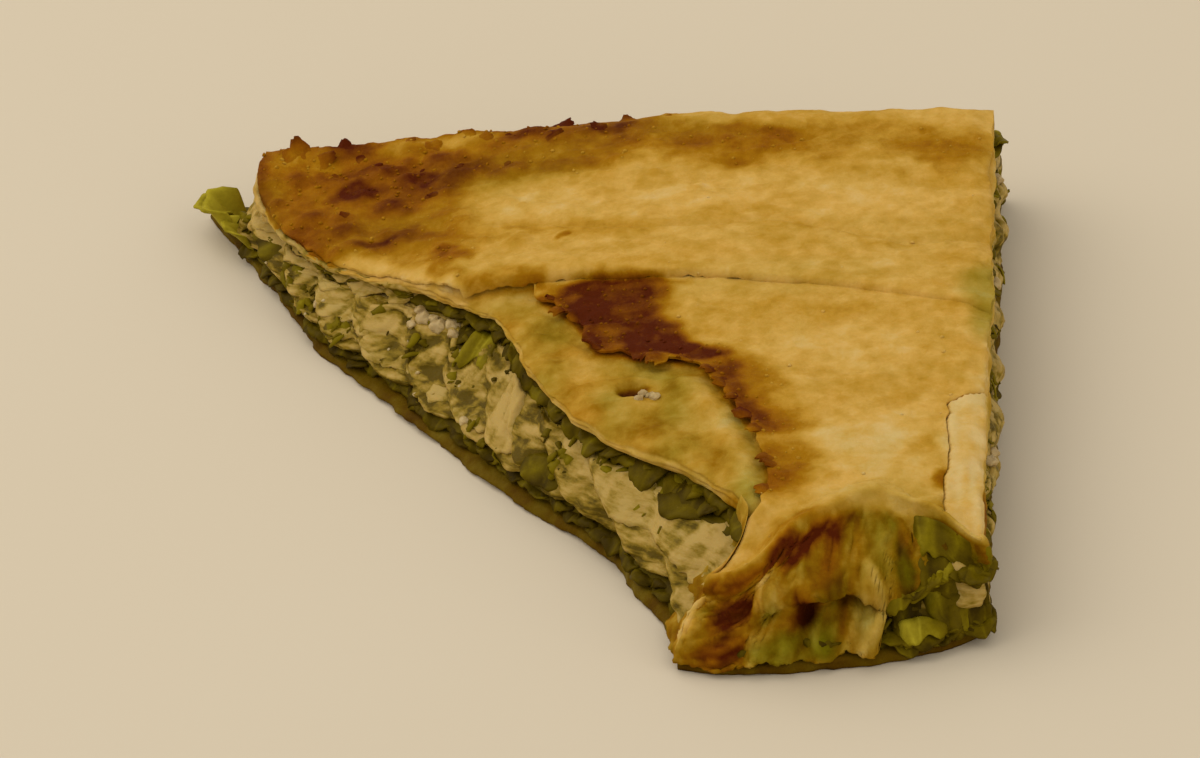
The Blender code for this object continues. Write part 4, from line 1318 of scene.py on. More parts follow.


# Crust that wraps the tip from the edge down to the foot. Marks are place along
# the rim, share of the way down, reach along and down in millimetres, and how
# much further baked and greener it is there; one paints shade in the tip's hole.
FRONT_LENGTH = 17.0
WRAP_INSIDE = 0.16
WRAP_AT = (-2.8, -1.2, 0.0, 1.3, 2.8, 4.4, 6.0, 7.2, 8.2, 9.5, 11.0, 12.5)
WRAP_PLAIN = (0.57, 0.36)
WRAP_PUSH_ALONG = ((0.9, 657.0, 3.6), (0.4, 658.0, 1.4))
WRAP_PUSH_DOWN = ((0.9, 659.0, 3.2), (0.4, 660.0, 1.3))
WRAP_MARKS = (
    (2.9, 0.10, 4.4, 3.2, 0.50, -0.5),
    (4.0, 0.18, 4.2, 3.2, 0.56, -0.5),
    (5.1, 0.12, 3.6, 2.4, 0.32, -0.4),
    (1.0, 0.09, 5.2, 2.3, 0.20, -0.4),
    (-0.5, 0.40, 2.4, 3.0, 0.28, -0.2),
    (1.4, 0.46, 3.4, 3.8, 0.52, -0.3),
    (1.5, 0.84, 3.8, 4.6, 0.22, -0.3),
    (-0.4, 0.62, 3.4, 5.4, -0.30, -0.3),
    (2.7, 0.32, 3.2, 2.2, -0.10, -0.3),
    (4.2, 0.40, 4.4, 2.0, -0.04, 0.1),
    (3.1, 0.56, 2.4, 2.8, -0.06, 0.3),
    # Darker in the deep hollow at the tip: painted shade in the hole
    (4.5, 0.66, 1.9, 3.4, 0.55, 0.1),
    (4.2, 0.90, 9.5, 4.0, -0.06, 0.5),
    (5.8, 0.56, 3.2, 5.2, 0.12, 0.3),
    (6.9, 0.72, 2.8, 5.6, -0.16, 0.1),
    (6.4, 0.16, 3.6, 3.0, 0.10, 0.1),
    (8.0, 0.26, 5.5, 4.6, 0.06, 0.35),
    (8.6, 0.42, 2.6, 4.0, 0.20, 0.5),
    (10.6, 0.20, 7.0, 4.5, 0.20, 0.6),
    (-2.4, 0.40, 5.0, 10.0, -0.14, 0.1),
)

# How far down the wrap reaches at each of those places
WRAP_FOOT = (0.92, 0.98, 0.99, 0.99, 0.98, 0.98, 0.98, 0.99, 0.52, 0.38, 0.30, 0.20)

# Where the wrap's own bake takes over from the crust's: place along the rim and
# how far down
WRAP_START = ((4.0, 5.6, 8.0, 10.0, 12.0), (0.0, 0.04, 0.11, 0.06, 0.02))

# Hollows and bulges of the wrap, the hollows painted darker as shade and the bulges lighter as light: place
# along the rim, how far down, radius and size
HOLLOWS = (
    (1.5, 0.47, 2.2, 1.6),
    (4.5, 0.71, 1.6, 3.2),
    (3.0, 0.66, 1.4, 0.9),
    (6.0, 0.60, 1.7, 1.4),
    (5.6, 0.32, 1.8, 0.7),
    (0.9, 0.24, 1.2, 0.7),
    (2.2, 0.86, 1.3, 0.8),
    (9.0, 0.20, 1.6, 0.8),
)
BULGES = (
    (2.9, 0.40, 2.6, 0.9),
    (-0.1, 0.55, 3.0, 0.7),
    (3.2, 0.86, 3.0, 0.5),
    (4.2, 0.12, 2.4, 0.5),
    (8.0, 0.28, 3.6, 0.7),
)

# Line of the pale ridge: place along the rim and how far down
PALE_RIDGE = ((6.7, 0.27), (7.2, 0.41), (7.5, 0.52), (7.62, 0.68), (7.5, 0.82), (7.1, 0.90), (6.5, 0.99))


def over_edge(at, run, out):
    """Point on the crust inside its front edge (run below 0) or down over the front (run up to 1)."""
    at, run, out = np.broadcast_arrays(at, run, out)
    in_x, in_y = rim_place(TOP, at, 1.0, np.minimum(run, 0.0) * FRONT_LENGTH)
    in_z = mix(ply_top("front", in_x, in_y), ply_top("low", in_x, in_y), strip(in_x, in_y)) + out
    x, y, z = over_front(at, np.maximum(run, 0.0), out)
    share = smooth(-0.02, 0.05, run)
    return mix(in_x, x, share), mix(in_y, y, share), mix(in_z, z, share)


def wrap_marks(s, v):
    """How far each place of the wrap is baked, and how green it is, with painted shade in the tip's hole."""
    far_s = rippled(s, s, v, *WRAP_PUSH_ALONG)
    far_v = rippled(v, s, v, *WRAP_PUSH_DOWN)
    spots = [(at * RIM_STEP, level * FRONT_LENGTH, *rest) for at, level, *rest in WRAP_MARKS]
    bake = with_marks(WRAP_PLAIN[0], far_s, far_v, [spot[:5] for spot in spots], 0.25)
    olive = with_marks(WRAP_PLAIN[1], far_s, far_v, [spot[:4] + spot[5:] for spot in spots], 0.25)
    return bake, olive


def wrap_mesh():
    """Crust that folds over its front edge and down the tip, browned at its left and green at its right,
    with painted shade in its hollows and folds and painted light on its bulges and creases.
    """
    down, at = grid(np.linspace(0.0, 1.0, 74), np.linspace(WRAP_AT[0], WRAP_AT[-1], 170))
    drift = 0.9 * ripple(down * 2.5, at * 0.5, 641.0, 1.0) + 0.3 * ripple(down * 8.0, at, 642.0, 1.0)
    s = at * RIM_STEP + drift * down
    at = s / RIM_STEP
    inner = WRAP_INSIDE * smooth(-1.4, 0.2, at) * (1.0 + 0.3 * ripple(s, 0.0, 640.0, 4.0))
    foot = np.interp(at, WRAP_AT, WRAP_FOOT) * rippled(1.0, s, 0.0, (0.1, 643.0, 3.4), (0.04, 644.0, 1.1))
    level = mix(-inner, foot, down)
    v = level * FRONT_LENGTH
    over = smooth(0.0, 0.12, level)
    slant = s + 0.25 * v
    folds = ripple(slant, v * 0.12, 645.0, 3.8) + 0.5 * ripple(slant, v * 0.3, 646.0, 1.8)
    crease = held(1.0 - np.abs(ripple(slant, v * 0.5, 654.0, 4.6)) * 7.0) ** 1.5
    crease = crease + 0.6 * held(1.0 - np.abs(ripple(s, v, 655.0, 3.2)) * 6.0) ** 1.5
    out = mix(0.1, 0.42, smooth(-0.12, 0.04, level)) + (0.55 * folds + 0.4 * crease) * over
    out = out + rippled(0.0, s, v, (0.55, 647.0, 2.6), (0.3, 648.0, 1.1)) * over
    out = out + 0.12 * ripple(s, v, 656.0, 0.5) * over
    # Painted shade in the hollows and painted light on the bulges
    dark = 0.0
    for spots, sign in ((HOLLOWS, -1.0), (BULGES, 1.0)):
        for swell in swells(s, level, FRONT_LENGTH, spots, 0.3, 649.0, 1.8):
            out = out + sign * swell
            dark = dark - sign * 0.16 * swell
    ridge_at = np.interp(level, [point[1] for point in PALE_RIDGE], [point[0] for point in PALE_RIDGE])
    ridge = np.exp(-((at - ridge_at) / 0.17) ** 2) * smooth(0.34, 0.44, level)
    out = out + ridge - 0.5 * np.exp(-((at - ridge_at + 0.75) / 0.4) ** 2) * smooth(0.3, 0.4, level)
    x, y, z = over_edge(at, level, out)
    on_top = crust_marks(x, y)
    blotch = rippled(0.0, s, v, (0.26, 651.0, 2.6), (0.22, 652.0, 1.1))
    bake, olive = wrap_marks(s, v)
    # Painted shade in the hollows of the folds, painted light on the raised creases
    bake = bake * (1.0 + blotch) + dark - 0.14 * folds
    bake = mix(bake - 0.1 * crease, 0.2, ridge)
    olive = olive + 0.3 * ripple(s, v, 653.0, 3.0)
    share = smooth(-0.05, 0.04, level - np.interp(at, *WRAP_START))
    bake = held(mix(on_top["bake"], bake, share))
    olive = held(mix(on_top["olive"], mix(olive, 0.35, ridge), share))
    thickness = mix(0.06, DRAPE_THICKNESS, smooth(0.0, 0.12, down))
    shape = Shape("bake", "olive")
    add_thin_grid(shape, x, y, z, thickness[..., None], bake=bake, olive=olive)
    return shape.mesh("crust_wrap")


def wrapped(at):
    """1 along the stretch of the tip that the wrap covers, where the layers under it are set back."""
    at = np.mod(at + 20.0, STATIONS) - 20.0
    return smooth(-1.6, 0.0, at) * fade(7.2, 8.2, at)


def slack_sheet(shape, surface, ends, drop, stand, fold, slack, marks, thickness, seed):
    """Soft sheet over a surface: tucked in at its top, with slack folds and a thin free edge."""
    width = (ends[1] - ends[0]) * RIM_STEP
    columns = max(int(width / SHEET_PITCH), 8)
    rows = max(int((drop[1] - drop[0]) * FACE_LENGTH / SHEET_PITCH), 8)
    down, at = grid(np.linspace(0.0, 1.0, rows), np.linspace(0.0, 1.0, columns))
    s = mix(ends[0], ends[1], at) * RIM_STEP
    s = s + 0.1 * width * (1.0 - 2.0 * at) * down * down
    drift = 0.9 * ripple(down * 2.5, at * 0.7, seed, 1.0) + 0.35 * ripple(down * 8.0, at, seed + 9.0, 1.0)
    s = s + drift * down
    foot = rippled(drop[1], s, 0.0, (0.10, seed + 1.0, 4.5), (0.045, seed + 2.0, 1.3))
    level = mix(drop[0], foot, down)
    slant = s + 2.2 * level
    folds = ripple(slant, level * 1.2, seed + 3.0, fold)
    folds = folds + 0.4 * ripple(slant, level * 3.0, seed + 4.0, fold * 0.4)
    edge = np.minimum(at, 1.0 - at) * width
    tucked = smooth(0.0, 1.0, edge) * smooth(0.0, 0.14, down + 0.03)
    out = mix(-0.35, stand, tucked) + slack * folds * mix(0.3, 1.0, tucked)
    out = out + 0.22 * ripple(s, level * FACE_LENGTH, seed + 5.0, 2.2) * tucked
    out = out + 0.09 * ripple(s, level * FACE_LENGTH, seed + 8.0, 0.9)
    x, y, z = surface(s / RIM_STEP, level, out)
    add_thin_grid(shape, x, y, z, thickness, **marks(s, level, folds, down))


def add_sheets(shape, surface, sheets, marks_of, thickness, seed, seed_step):
    """Slack sheets from a table, which ends each row with what their marks take."""
    for first, last, top, foot, stand, fold, slack, *look in sheets:
        slack_sheet(shape, surface, (first, last), (top, foot), stand, fold, slack,
                    marks_of(*look, seed), thickness, seed)
        seed += seed_step


def dough_marks(tone, bake, seed):
    """Tone and bake of a sheet of dough, with painted shade in the hollows of its folds and painted light on
    their crests.
    """
    def marks(s, level, folds, down):
        v = level * FACE_LENGTH
        # Paler on the crests of the folds and darker in their hollows: painted light and shade
        value = tone + 0.4 * ripple(s, v, seed + 6.0, 3.6) - 0.3 * folds
        value = value + 0.16 * ripple(s, v, seed + 6.5, 1.3) - 0.12 * smooth(0.85, 1.0, down)
        value = value + 0.75 * ripple(s, v * 0.25, seed + 6.7, 1.3)
        baked = bake * (0.9 + 0.8 * ripple(s, v, seed + 7.0, 3.0))
        return {"tone": held(value), "bake": held(baked)}

    return marks


def drapes_mesh():
    """Layered face of the dough, with sheets that hang over it."""
    shape = Shape("tone", "bake")
    face_skin(shape, CUT_START - 0.2, STATIONS - 0.4, 54, 0.125, 171.0)
    face_skin(shape, 12.2, 42.0, 38, 0.2, 191.0)
    add_sheets(shape, over_face, DRAPES, dough_marks, DRAPE_THICKNESS, 211.0, 17.0)
    add_sheets(shape, over_front, SIDE_SHEETS, dough_marks, DRAPE_THICKNESS, 381.0, 17.0)
    return shape.mesh("dough_sheets")


# Stops of the line over the front: layer, share of its height, how far out
FRONT_STOPS = ((TOP, 1.0, 0.0), (TOP, 0.35, 0.3), (UPPER, 1.0, 0.2), (UPPER, 0.3, 0.3),
               (MIDDLE, 0.75, 0.3), (MIDDLE, 0.0, 0.3), (BOTTOM, 0.6, 0.2))


def front_line(at, down):
    """Point on the line from the crust's edge (0) over the greens and the dough to the foot (1)."""
    points = []
    for layer, part, out in FRONT_STOPS:
        x, y = rim_place(layer, at, part, out)
        z = layer_height(layer, part, x, y)
        if layer == TOP:
            z = z + part * (crust_relief(x, y) - 0.3)
        points.append(np.stack((x, y, z), axis=-1))
    points = np.array(points)
    steps = np.linalg.norm(np.diff(points, axis=0), axis=-1)
    reach = np.concatenate((np.zeros((1,) + steps.shape[1:]), np.cumsum(steps, axis=0)))
    wanted = held(down) * reach[-1]
    found = points[0] + 0.0
    for index in range(len(steps)):
        share = held((wanted - reach[index]) / np.maximum(steps[index], 1e-6))
        found = found + share[..., None] * (points[index + 1] - points[index])
    return found


def over_front(at, down, out):
    """Point over the whole front, moved off it along its slope's normal."""
    at, down, out = np.broadcast_arrays(*(np.asarray(value, float) for value in (at, down, out)))
    x, y, z = np.moveaxis(sum(front_line(at, down + shift) for shift in (-0.05, 0.0, 0.05)) / 3.0, -1, 0)
    run = front_line(at, down + 0.06) - front_line(at, down - 0.06)
    out_x, out_y = at_rim(at)[4:]
    length = np.maximum(np.hypot(out_x, out_y), 1e-6)
    out_x = out_x / length
    out_y = out_y / length
    forward = run[..., 0] * out_x + run[..., 1] * out_y
    sideways = -run[..., 2]
    slope = np.maximum(np.hypot(forward, sideways), 1e-6)
    push = out * sideways / slope
    return x + out_x * push, y + out_y * push, z + out * forward / slope


def leaf_marks(tone, seed):
    """Tone of a large leaf that lies over the front, with painted light on its raised folds."""
    def marks(s, level, folds, down):
        # Brighter on the raised folds: painted light
        value = tone + 0.4 * ripple(s, level * FACE_LENGTH, seed + 6.0, 2.6) + 0.25 * folds
        vein = fade(0.0, 0.5, np.abs(ripple(s, level * 4.0, seed + 7.0, 3.0)) * 5.0)
        return {"tone": held(value + 0.22 * vein)}

    return marks


# Large leaves over the front: stretch of the rim, from where down to where, how
# far they stand out, length and slack of their folds, tone
TIP_LEAVES = (
    (7.8, 9.8, 0.30, 0.72, 0.35, 2.6, 0.65, 0.22),
    (9.0, 11.2, 0.28, 0.66, 0.55, 2.4, 0.65, 0.22),
    (10.4, 12.4, 0.26, 0.72, 0.35, 2.6, 0.60, 0.12),
    (8.9, 12.4, 0.05, 0.36, 1.10, 3.0, 0.45, 0.42),
    (7.8, 9.4, 0.60, 0.95, 0.45, 2.2, 0.55, 0.12),
    (8.0, 10.2, 0.84, 1.00, 1.60, 2.4, 0.50, 0.75),
    (9.4, 11.2, 0.60, 0.90, 0.50, 2.4, 0.55, 0.26),
    (10.0, 12.4, 0.70, 1.00, 0.55, 2.4, 0.55, 0.02),
)
BAND_LEAVES = (
    (77.0, 79.2, 0.50, 0.80, 0.35, 3.0, 0.45, 0.20),
    (91.0, 93.4, 0.00, 0.26, 0.20, 3.0, 0.45, 0.10),
    (92.2, 94.4, 0.10, 0.44, 0.50, 3.0, 0.50, 0.62),
    (99.6, 101.6, 0.62, 0.90, 0.45, 2.8, 0.50, 0.25),
    (104.4, 107.0, 0.00, 0.34, 0.55, 3.0, 0.60, 0.20),
    (105.6, 108.2, 0.00, 0.38, 0.75, 3.0, 0.65, 0.14),
    (107.2, 109.6, 0.00, 0.30, 0.60, 3.0, 0.60, 0.22),
)


def ball(subdivisions, radius):
    """Points and faces of a ball of triangles."""
    body = bmesh.new()
    bmesh.ops.create_icosphere(body, subdivisions=subdivisions, radius=radius)
    points = np.array([tuple(vertex.co) for vertex in body.verts])
    faces = [tuple(vertex.index for vertex in face.verts) for face in body.faces]
    body.free()
    return points, faces


def lump(shape, x, y, z, radius, seed, **marks):
    """Crumbly lump of cheese."""
    points, faces = ball(3, 1.0)
    uneven = 1.0 + 0.45 * ripple(points[:, 0] + seed, points[:, 1], points[:, 2], 0.9)
    uneven = uneven + 0.2 * ripple(points[:, 0] - seed, points[:, 1], points[:, 2] + 5.0, 0.35)
    points = points * uneven[:, None] * radius * np.array((1.0, 1.0, 0.75))
    shape.add(x + points[:, 0], y + points[:, 1], z + points[:, 2], faces, **marks)


# Bits of cheese on the cut: place along the rim, how far down and radius
CHEESE = (
    (88.3, 0.20, 0.9),
    (88.9, 0.24, 1.15),
    (89.5, 0.22, 0.9),
    (90.0, 0.30, 1.2),
    (90.6, 0.26, 1.0),
    (91.1, 0.32, 0.8),
    (88.6, 0.36, 0.7),
    (83.0, 0.66, 0.7),
    (95.0, 0.76, 0.7),
    (20.3, 0.5, 1.1),
    (21.0, 0.56, 0.9),
    (31.2, 0.46, 1.1),
    (38.6, 0.52, 1.0),
)
PIT_LUMPS = 5
PIT_CHEESE = (PIT[0] + 2.2, PIT[1] - 2.6)


def cheese_mesh():
    shape = Shape("tone")
    for number, (at, down, radius) in enumerate(CHEESE):
        x, y, z = (float(value) for value in over_face(np.array(at), np.array(down), np.array(0.5)))
        lump(shape, x, y, z, radius, 3.0 * number, tone=0.5)
    for number in range(PIT_LUMPS):
        x = PIT_CHEESE[0] + 1.1 * math.cos(1.9 * number)
        y = PIT_CHEESE[1] + 0.7 * math.sin(2.3 * number)
        z = float(ply_top("low", np.array(x), np.array(y)))
        lump(shape, x, y, z + 0.15, 0.75 - 0.07 * number, 60.0 + number, tone=0.6)
    return shape.mesh("cheese")


def set_inputs(tree, node, inputs):
    """Link or set the inputs of a node, by name or number."""
    for key, value in inputs.items():
        if hasattr(value, "is_output"):
            tree.links.new(value, node.inputs[key])
        else:
            node.inputs[key].default_value = value


def add_node(tree, kind, inputs=None, **settings):
    node = tree.nodes.new(kind)
    for name, value in settings.items():
        setattr(node, name, value)
    set_inputs(tree, node, inputs or {})
    return node


def new_material(name, *noises):
    """New material, its node tree, and a noise for each scale, detail and roughness given."""
    material = bpy.data.materials.new(name)
    material.use_nodes = True
    tree = material.node_tree
    return material, tree, *(noise_value(tree, *noise_look) for noise_look in noises)


def mark_value(tree, name):
    return add_node(tree, "ShaderNodeAttribute", attribute_name=name).outputs["Fac"]


def noise_value(tree, scale, detail, rough_share, stretch=None):
    """Noise on the object's own coordinates, drawn out along an axis where asked."""
    place = add_node(tree, "ShaderNodeTexCoord").outputs["Object"]
    if stretch:
        place = add_node(tree, "ShaderNodeMapping", {"Scale": stretch, "Vector": place}).outputs["Vector"]
    inputs = {"Scale": scale, "Detail": detail, "Roughness": rough_share, "Vector": place}
    return add_node(tree, "ShaderNodeTexNoise", inputs).outputs["Fac"]


def maths(tree, operation, *values):
    return add_node(tree, "ShaderNodeMath", dict(enumerate(values)), operation=operation).outputs["Value"]


def varied(tree, value, *parts):
    """A value with parts added, each a noise and how much of it."""
    for part, amount in parts:
        value = maths(tree, "MULTIPLY_ADD", maths(tree, "SUBTRACT", part, 0.5), amount, value)
    return value


def linear(colour):
    """Screen colour as the linear colour that a shader takes, with full cover."""
    return (*(c / 12.92 if c <= 0.04045 else ((c + 0.055) / 1.055) ** 2.4 for c in colour), 1.0)


def ramp(tree, value, stops):
    node = add_node(tree, "ShaderNodeValToRGB", {"Fac": value})
    elements = node.color_ramp.elements
    while len(elements) < len(stops):
        elements.new(0.5)
    for element, (place, colour) in zip(elements, stops):
        element.position = place
        element.color = linear(colour)
    return node.outputs["Color"]


def blend(tree, share, first, second, kind="MIX"):
    """Mix of two colours, each a socket or a screen colour."""
    first, second = (value if hasattr(value, "is_output") else linear(value) for value in (first, second))
    inputs = {0: share, 6: first, 7: second}
    return add_node(tree, "ShaderNodeMix", inputs, data_type="RGBA", blend_type=kind).outputs[2]


def spread(tree, value, low, high):
    """A value between 0 and 1 spread over a range."""
    return maths(tree, "MULTIPLY_ADD", value, high - low, low)


def shaded(material, colour, roughness, shine, relief=None, soft=None):
    """The material with its shader's inputs: relief is height, depth and strength; soft is
    weight, radius and scale."""
    tree = material.node_tree
    inputs = {"Base Color": colour, "Roughness": roughness, "Specular IOR Level": shine}
    if relief:
        bump = add_node(tree, "ShaderNodeBump", dict(zip(("Height", "Distance", "Strength"), relief)))
        inputs["Normal"] = bump.outputs["Normal"]
    if soft:
        inputs.update(zip(("Subsurface Weight", "Subsurface Radius", "Subsurface Scale"), soft))
    set_inputs(tree, tree.nodes["Principled BSDF"], inputs)
    return material


def bake_stops(colours):
    return ((0.0, colours.crust_cream), (0.2, colours.crust_pale), (0.38, colours.crust_gold),
            (0.55, colours.crust_ochre), (0.7, colours.crust_brown), (0.86, colours.crust_dark),
            (1.0, colours.crust_burnt))


def crust_finish(colours):
    """Baked pastry: cream to burnt by how far it is baked, with fine grain and streaks."""
    material, tree, grain, mottle, streaks, film = new_material(
        "baked_crust", (1500.0, 5.0, 0.65), (420.0, 4.0, 0.6), (1.0, 4.0, 0.6, (170.0, 330.0, 300.0)),
        (240.0, 2.0, 0.4))
    patches = ramp(tree, film, ((0.44, (0.0, 0.0, 0.0)), (0.5, (1.0, 1.0, 1.0))))
    bake = varied(tree, mark_value(tree, "bake"), (grain, 0.16), (mottle, 0.26), (streaks, 0.10),
                  (patches, 0.05))
    baked = ramp(tree, bake, bake_stops(colours))
    tint = blend(tree, 1.0, baked, colours.olive_tint, "MULTIPLY")
    olive = varied(tree, mark_value(tree, "olive"), (mottle, 0.3), (streaks, 0.2))
    share = maths(tree, "MINIMUM", maths(tree, "MAXIMUM", olive, 0.0), 1.0)
    return shaded(material, blend(tree, share, baked, tint),
                  spread(tree, varied(tree, grain, (mottle, 0.8)), 0.46, 0.7), 0.02,
                  (varied(tree, grain, (mottle, 1.6)), 0.00022, 0.6), (0.08, (1.0, 0.55, 0.2), 0.001))


def dough_finish(colours):
    """Soft moist dough: cream, stained by the greens, browned where it met the tray."""
    material, tree, grain, mottle, layers = new_material(
        "soft_dough", (1100.0, 4.0, 0.6), (300.0, 4.0, 0.6), (1.0, 4.0, 0.6, (260.0, 260.0, 1300.0)))
    tone = varied(tree, mark_value(tree, "tone"), (grain, 0.2), (mottle, 0.7), (layers, 2.4))
    stained = ramp(tree, tone, ((0.0, colours.dough_cream), (0.3, colours.dough_beige),
                                (0.6, colours.dough_olive), (0.9, colours.dough_green)))
    bake = varied(tree, mark_value(tree, "bake"), (mottle, 0.3), (grain, 0.15))
    share = maths(tree, "MINIMUM", maths(tree, "MULTIPLY", mark_value(tree, "bake"), 3.0), 1.0)
    return shaded(material, blend(tree, share, stained, ramp(tree, bake, bake_stops(colours))),
                  spread(tree, mottle, 0.3, 0.6), 0.05,
                  (varied(tree, grain, (mottle, 1.5), (layers, -1.6)), 0.00026, 0.6),
                  (0.12, (1.0, 0.55, 0.15), 0.0014))


def greens_finish(colours):
    """Cooked leaves: dark and moist, with brighter veins and stalks."""
    material, tree, grain, mottle = new_material("cooked_greens", (1300.0, 4.0, 0.6), (360.0, 4.0, 0.6))
    tone = varied(tree, mark_value(tree, "tone"), (grain, 0.2), (mottle, 0.5))
    colour = ramp(tree, tone, ((0.0, colours.leaf_black), (0.35, colours.leaf_dark),
                               (0.65, colours.leaf_olive), (1.0, colours.leaf_bright)))
    return shaded(material, colour, spread(tree, mottle, 0.34, 0.62), 0.03,
                  (varied(tree, grain, (mottle, 1.0)), 0.0002, 0.6))


def cheese_finish(colours):
    """White cheese: off-white, crumbly and slightly moist."""
    material, tree, grain, mottle = new_material("white_cheese", (1700.0, 5.0, 0.7), (500.0, 3.0, 0.5))
    colour = ramp(tree, varied(tree, mottle, (grain, 0.5)),
                  ((0.25, colours.cheese_shade), (0.7, colours.cheese)))
    return shaded(material, colour, spread(tree, grain, 0.4, 0.65), 0.5,
                  (varied(tree, grain, (mottle, 1.0)), 0.0003, 0.7), (0.3, (1.0, 0.85, 0.6), 0.0015))


def base_finish(colours):
    """Toasted base with oily darker patches, pulled most of the way to leaf black: partly the greens' juice,
    partly painted shade along the foot.
    """
    material, tree, grain, mottle = new_material("toasted_base", (1500.0, 5.0, 0.65), (350.0, 4.0, 0.6))
    bake = varied(tree, mark_value(tree, "bake"), (grain, 0.25), (mottle, 0.35))
    baked = ramp(tree, bake, bake_stops(colours))
    tinted = blend(tree, 0.6, baked, blend(tree, 1.0, baked, colours.olive_tint, "MULTIPLY"))
    # Six tenths of the way to leaf black: partly the greens' juice, partly painted shade along the foot
    colour = blend(tree, 0.6, tinted, colours.leaf_black)
    return shaded(material, colour, spread(tree, mottle, 0.35, 0.6), 0.02,
                  (varied(tree, grain, (mottle, 1.0)), 0.0003, 0.7))


def floor_finish(stage):
    """Plain pale matt floor."""
    material, tree, mottle = new_material("pale_floor", (6.0, 2.0, 0.5))
    share = spread(tree, mottle, 0.0, 0.06)
    return shaded(material, blend(tree, share, stage.floor_colour, (1.0, 1.0, 1.0)), 0.6, 0.25)


FINISHES = {"baked_crust": crust_finish, "soft_dough": dough_finish, "cooked_greens": greens_finish,
            "white_cheese": cheese_finish, "toasted_base": base_finish}


def finish_for(name):
    """Material of a name, made on first use."""
    return bpy.data.materials.get(name) or FINISHES[name](bpy.context.scene.borek_colours)


SCATTER_INPUTS = (
    ("Geometry", "NodeSocketGeometry"),
    ("Amount", "NodeSocketFloat"),
    ("Smallest", "NodeSocketFloat"),
    ("Largest", "NodeSocketFloat"),
    ("Sink", "NodeSocketFloat"),
    ("Tilt", "NodeSocketFloat"),
    ("Seed", "NodeSocketInt"),
    ("Bits", "NodeSocketCollection"),
    ("Finish", "NodeSocketMaterial"),
)
PALEST_BIT = 0.62


def scatter_tree():
    """Nodes that strew small bits over a surface, thick where its amount mark is high."""
    tree = bpy.data.node_groups.get("strewn_bits")
    if tree:
        return tree
    tree = bpy.data.node_groups.new("strewn_bits", "GeometryNodeTree")
    for name, kind in SCATTER_INPUTS:
        tree.interface.new_socket(name, in_out="INPUT", socket_type=kind)
    tree.interface.new_socket("Geometry", in_out="OUTPUT", socket_type="NodeSocketGeometry")

    def node(kind, inputs, **settings):
        return add_node(tree, kind, inputs, **settings).outputs

    given = node("NodeGroupInput", None)
    seed = given["Seed"]
    thick = node("GeometryNodeInputNamedAttribute", {"Name": "amount"}, data_type="FLOAT")[0]
    points = node("GeometryNodeDistributePointsOnFaces",
                  {"Mesh": given["Geometry"], "Density": maths(tree, "MULTIPLY", thick, given["Amount"]),
                   "Seed": seed}, distribute_method="RANDOM")
    bits = node("GeometryNodeCollectionInfo",
                {"Collection": given["Bits"], "Separate Children": True, "Reset Children": True})[0]
    size = node("FunctionNodeRandomValue", {2: given["Smallest"], 3: given["Largest"], "Seed": seed},
                data_type="FLOAT")[1]
    placed = node("GeometryNodeInstanceOnPoints",
                  {"Points": points["Points"], "Rotation": points["Rotation"], "Instance": bits,
                   "Pick Instance": True, "Scale": size})[0]
    tilt = node("ShaderNodeCombineXYZ", {"X": given["Tilt"], "Y": given["Tilt"], "Z": math.pi})[0]
    back = node("ShaderNodeVectorMath", {0: tilt, "Scale": -1.0}, operation="SCALE")[0]
    turn = node("FunctionNodeRandomValue", {0: back, 1: tilt, "Seed": seed}, data_type="FLOAT_VECTOR")[0]
    turned = node("GeometryNodeRotateInstances", {"Instances": placed, "Rotation": turn})[0]
    lower = node("ShaderNodeCombineXYZ", {"Z": maths(tree, "MULTIPLY", given["Sink"], -1.0)})[0]
    sunk = node("GeometryNodeTranslateInstances", {"Instances": turned, "Translation": lower})[0]
    shade = node("FunctionNodeRandomValue", {3: PALEST_BIT, "Seed": seed}, data_type="FLOAT")[1]
    stored = node("GeometryNodeStoreNamedAttribute", {"Geometry": sunk, "Name": "tone", "Value": shade},
                  data_type="FLOAT", domain="INSTANCE")[0]
    real = node("GeometryNodeRealizeInstances", {"Geometry": stored})[0]
    done = node("GeometryNodeSetMaterial", {"Geometry": real, "Material": given["Finish"]})[0]
    node("NodeGroupOutput", {"Geometry": done})
    return tree


def strew(name, host, bits, finish, amount, sizes, sink, tilt, seed):
    """Mesh of small bits strewn over a host mesh, which has an amount mark."""
    collection = bpy.data.collections.new(name + "_bits")
    items = [bpy.data.objects.new(f"{name}_{number}", mesh) for number, mesh in enumerate(bits)]
    for item in items:
        collection.objects.link(item)
    base = bpy.data.objects.new(name + "_host", host)
    bpy.context.scene.collection.objects.link(base)
    tree = scatter_tree()
    modifier = base.modifiers.new("bits", "NODES")
    modifier.node_group = tree
    values = {"Amount": amount * SQUARE_METRE, "Smallest": sizes[0] * MM, "Largest": sizes[1] * MM,
              "Sink": sink * MM, "Tilt": tilt, "Seed": seed, "Bits": collection,
              "Finish": finish_for(finish)}
    for socket in tree.interface.items_tree:
        if socket.in_out == "INPUT" and socket.name in values:
            modifier[socket.identifier] = values[socket.name]
    evaluated = base.evaluated_get(bpy.context.evaluated_depsgraph_get())
    mesh = bpy.data.meshes.new_from_object(evaluated)
    mesh.name = name
    base.modifiers.clear()
    for item in (base, *items):
        bpy.data.objects.remove(item)
    bpy.data.collections.remove(collection)
    return mesh


# Strewn bits: smallest and largest size, how deep they sink, tilt and seed
CRUST_CRUMBS = ((0.25, 0.7), 0.02, 0.6, 3)
LEAF_SHREDS = ((1.0, 3.4), 0.0, 0.5, 5)
CHEESE_CRUMBS = ((0.4, 0.9), 0.0, 0.8, 7)
CHEESE_CRUMBS_AMOUNT = 0.05
STREWN_AT = (74.5, 154.0)
CRUMB_HOST_PITCH = 1.4


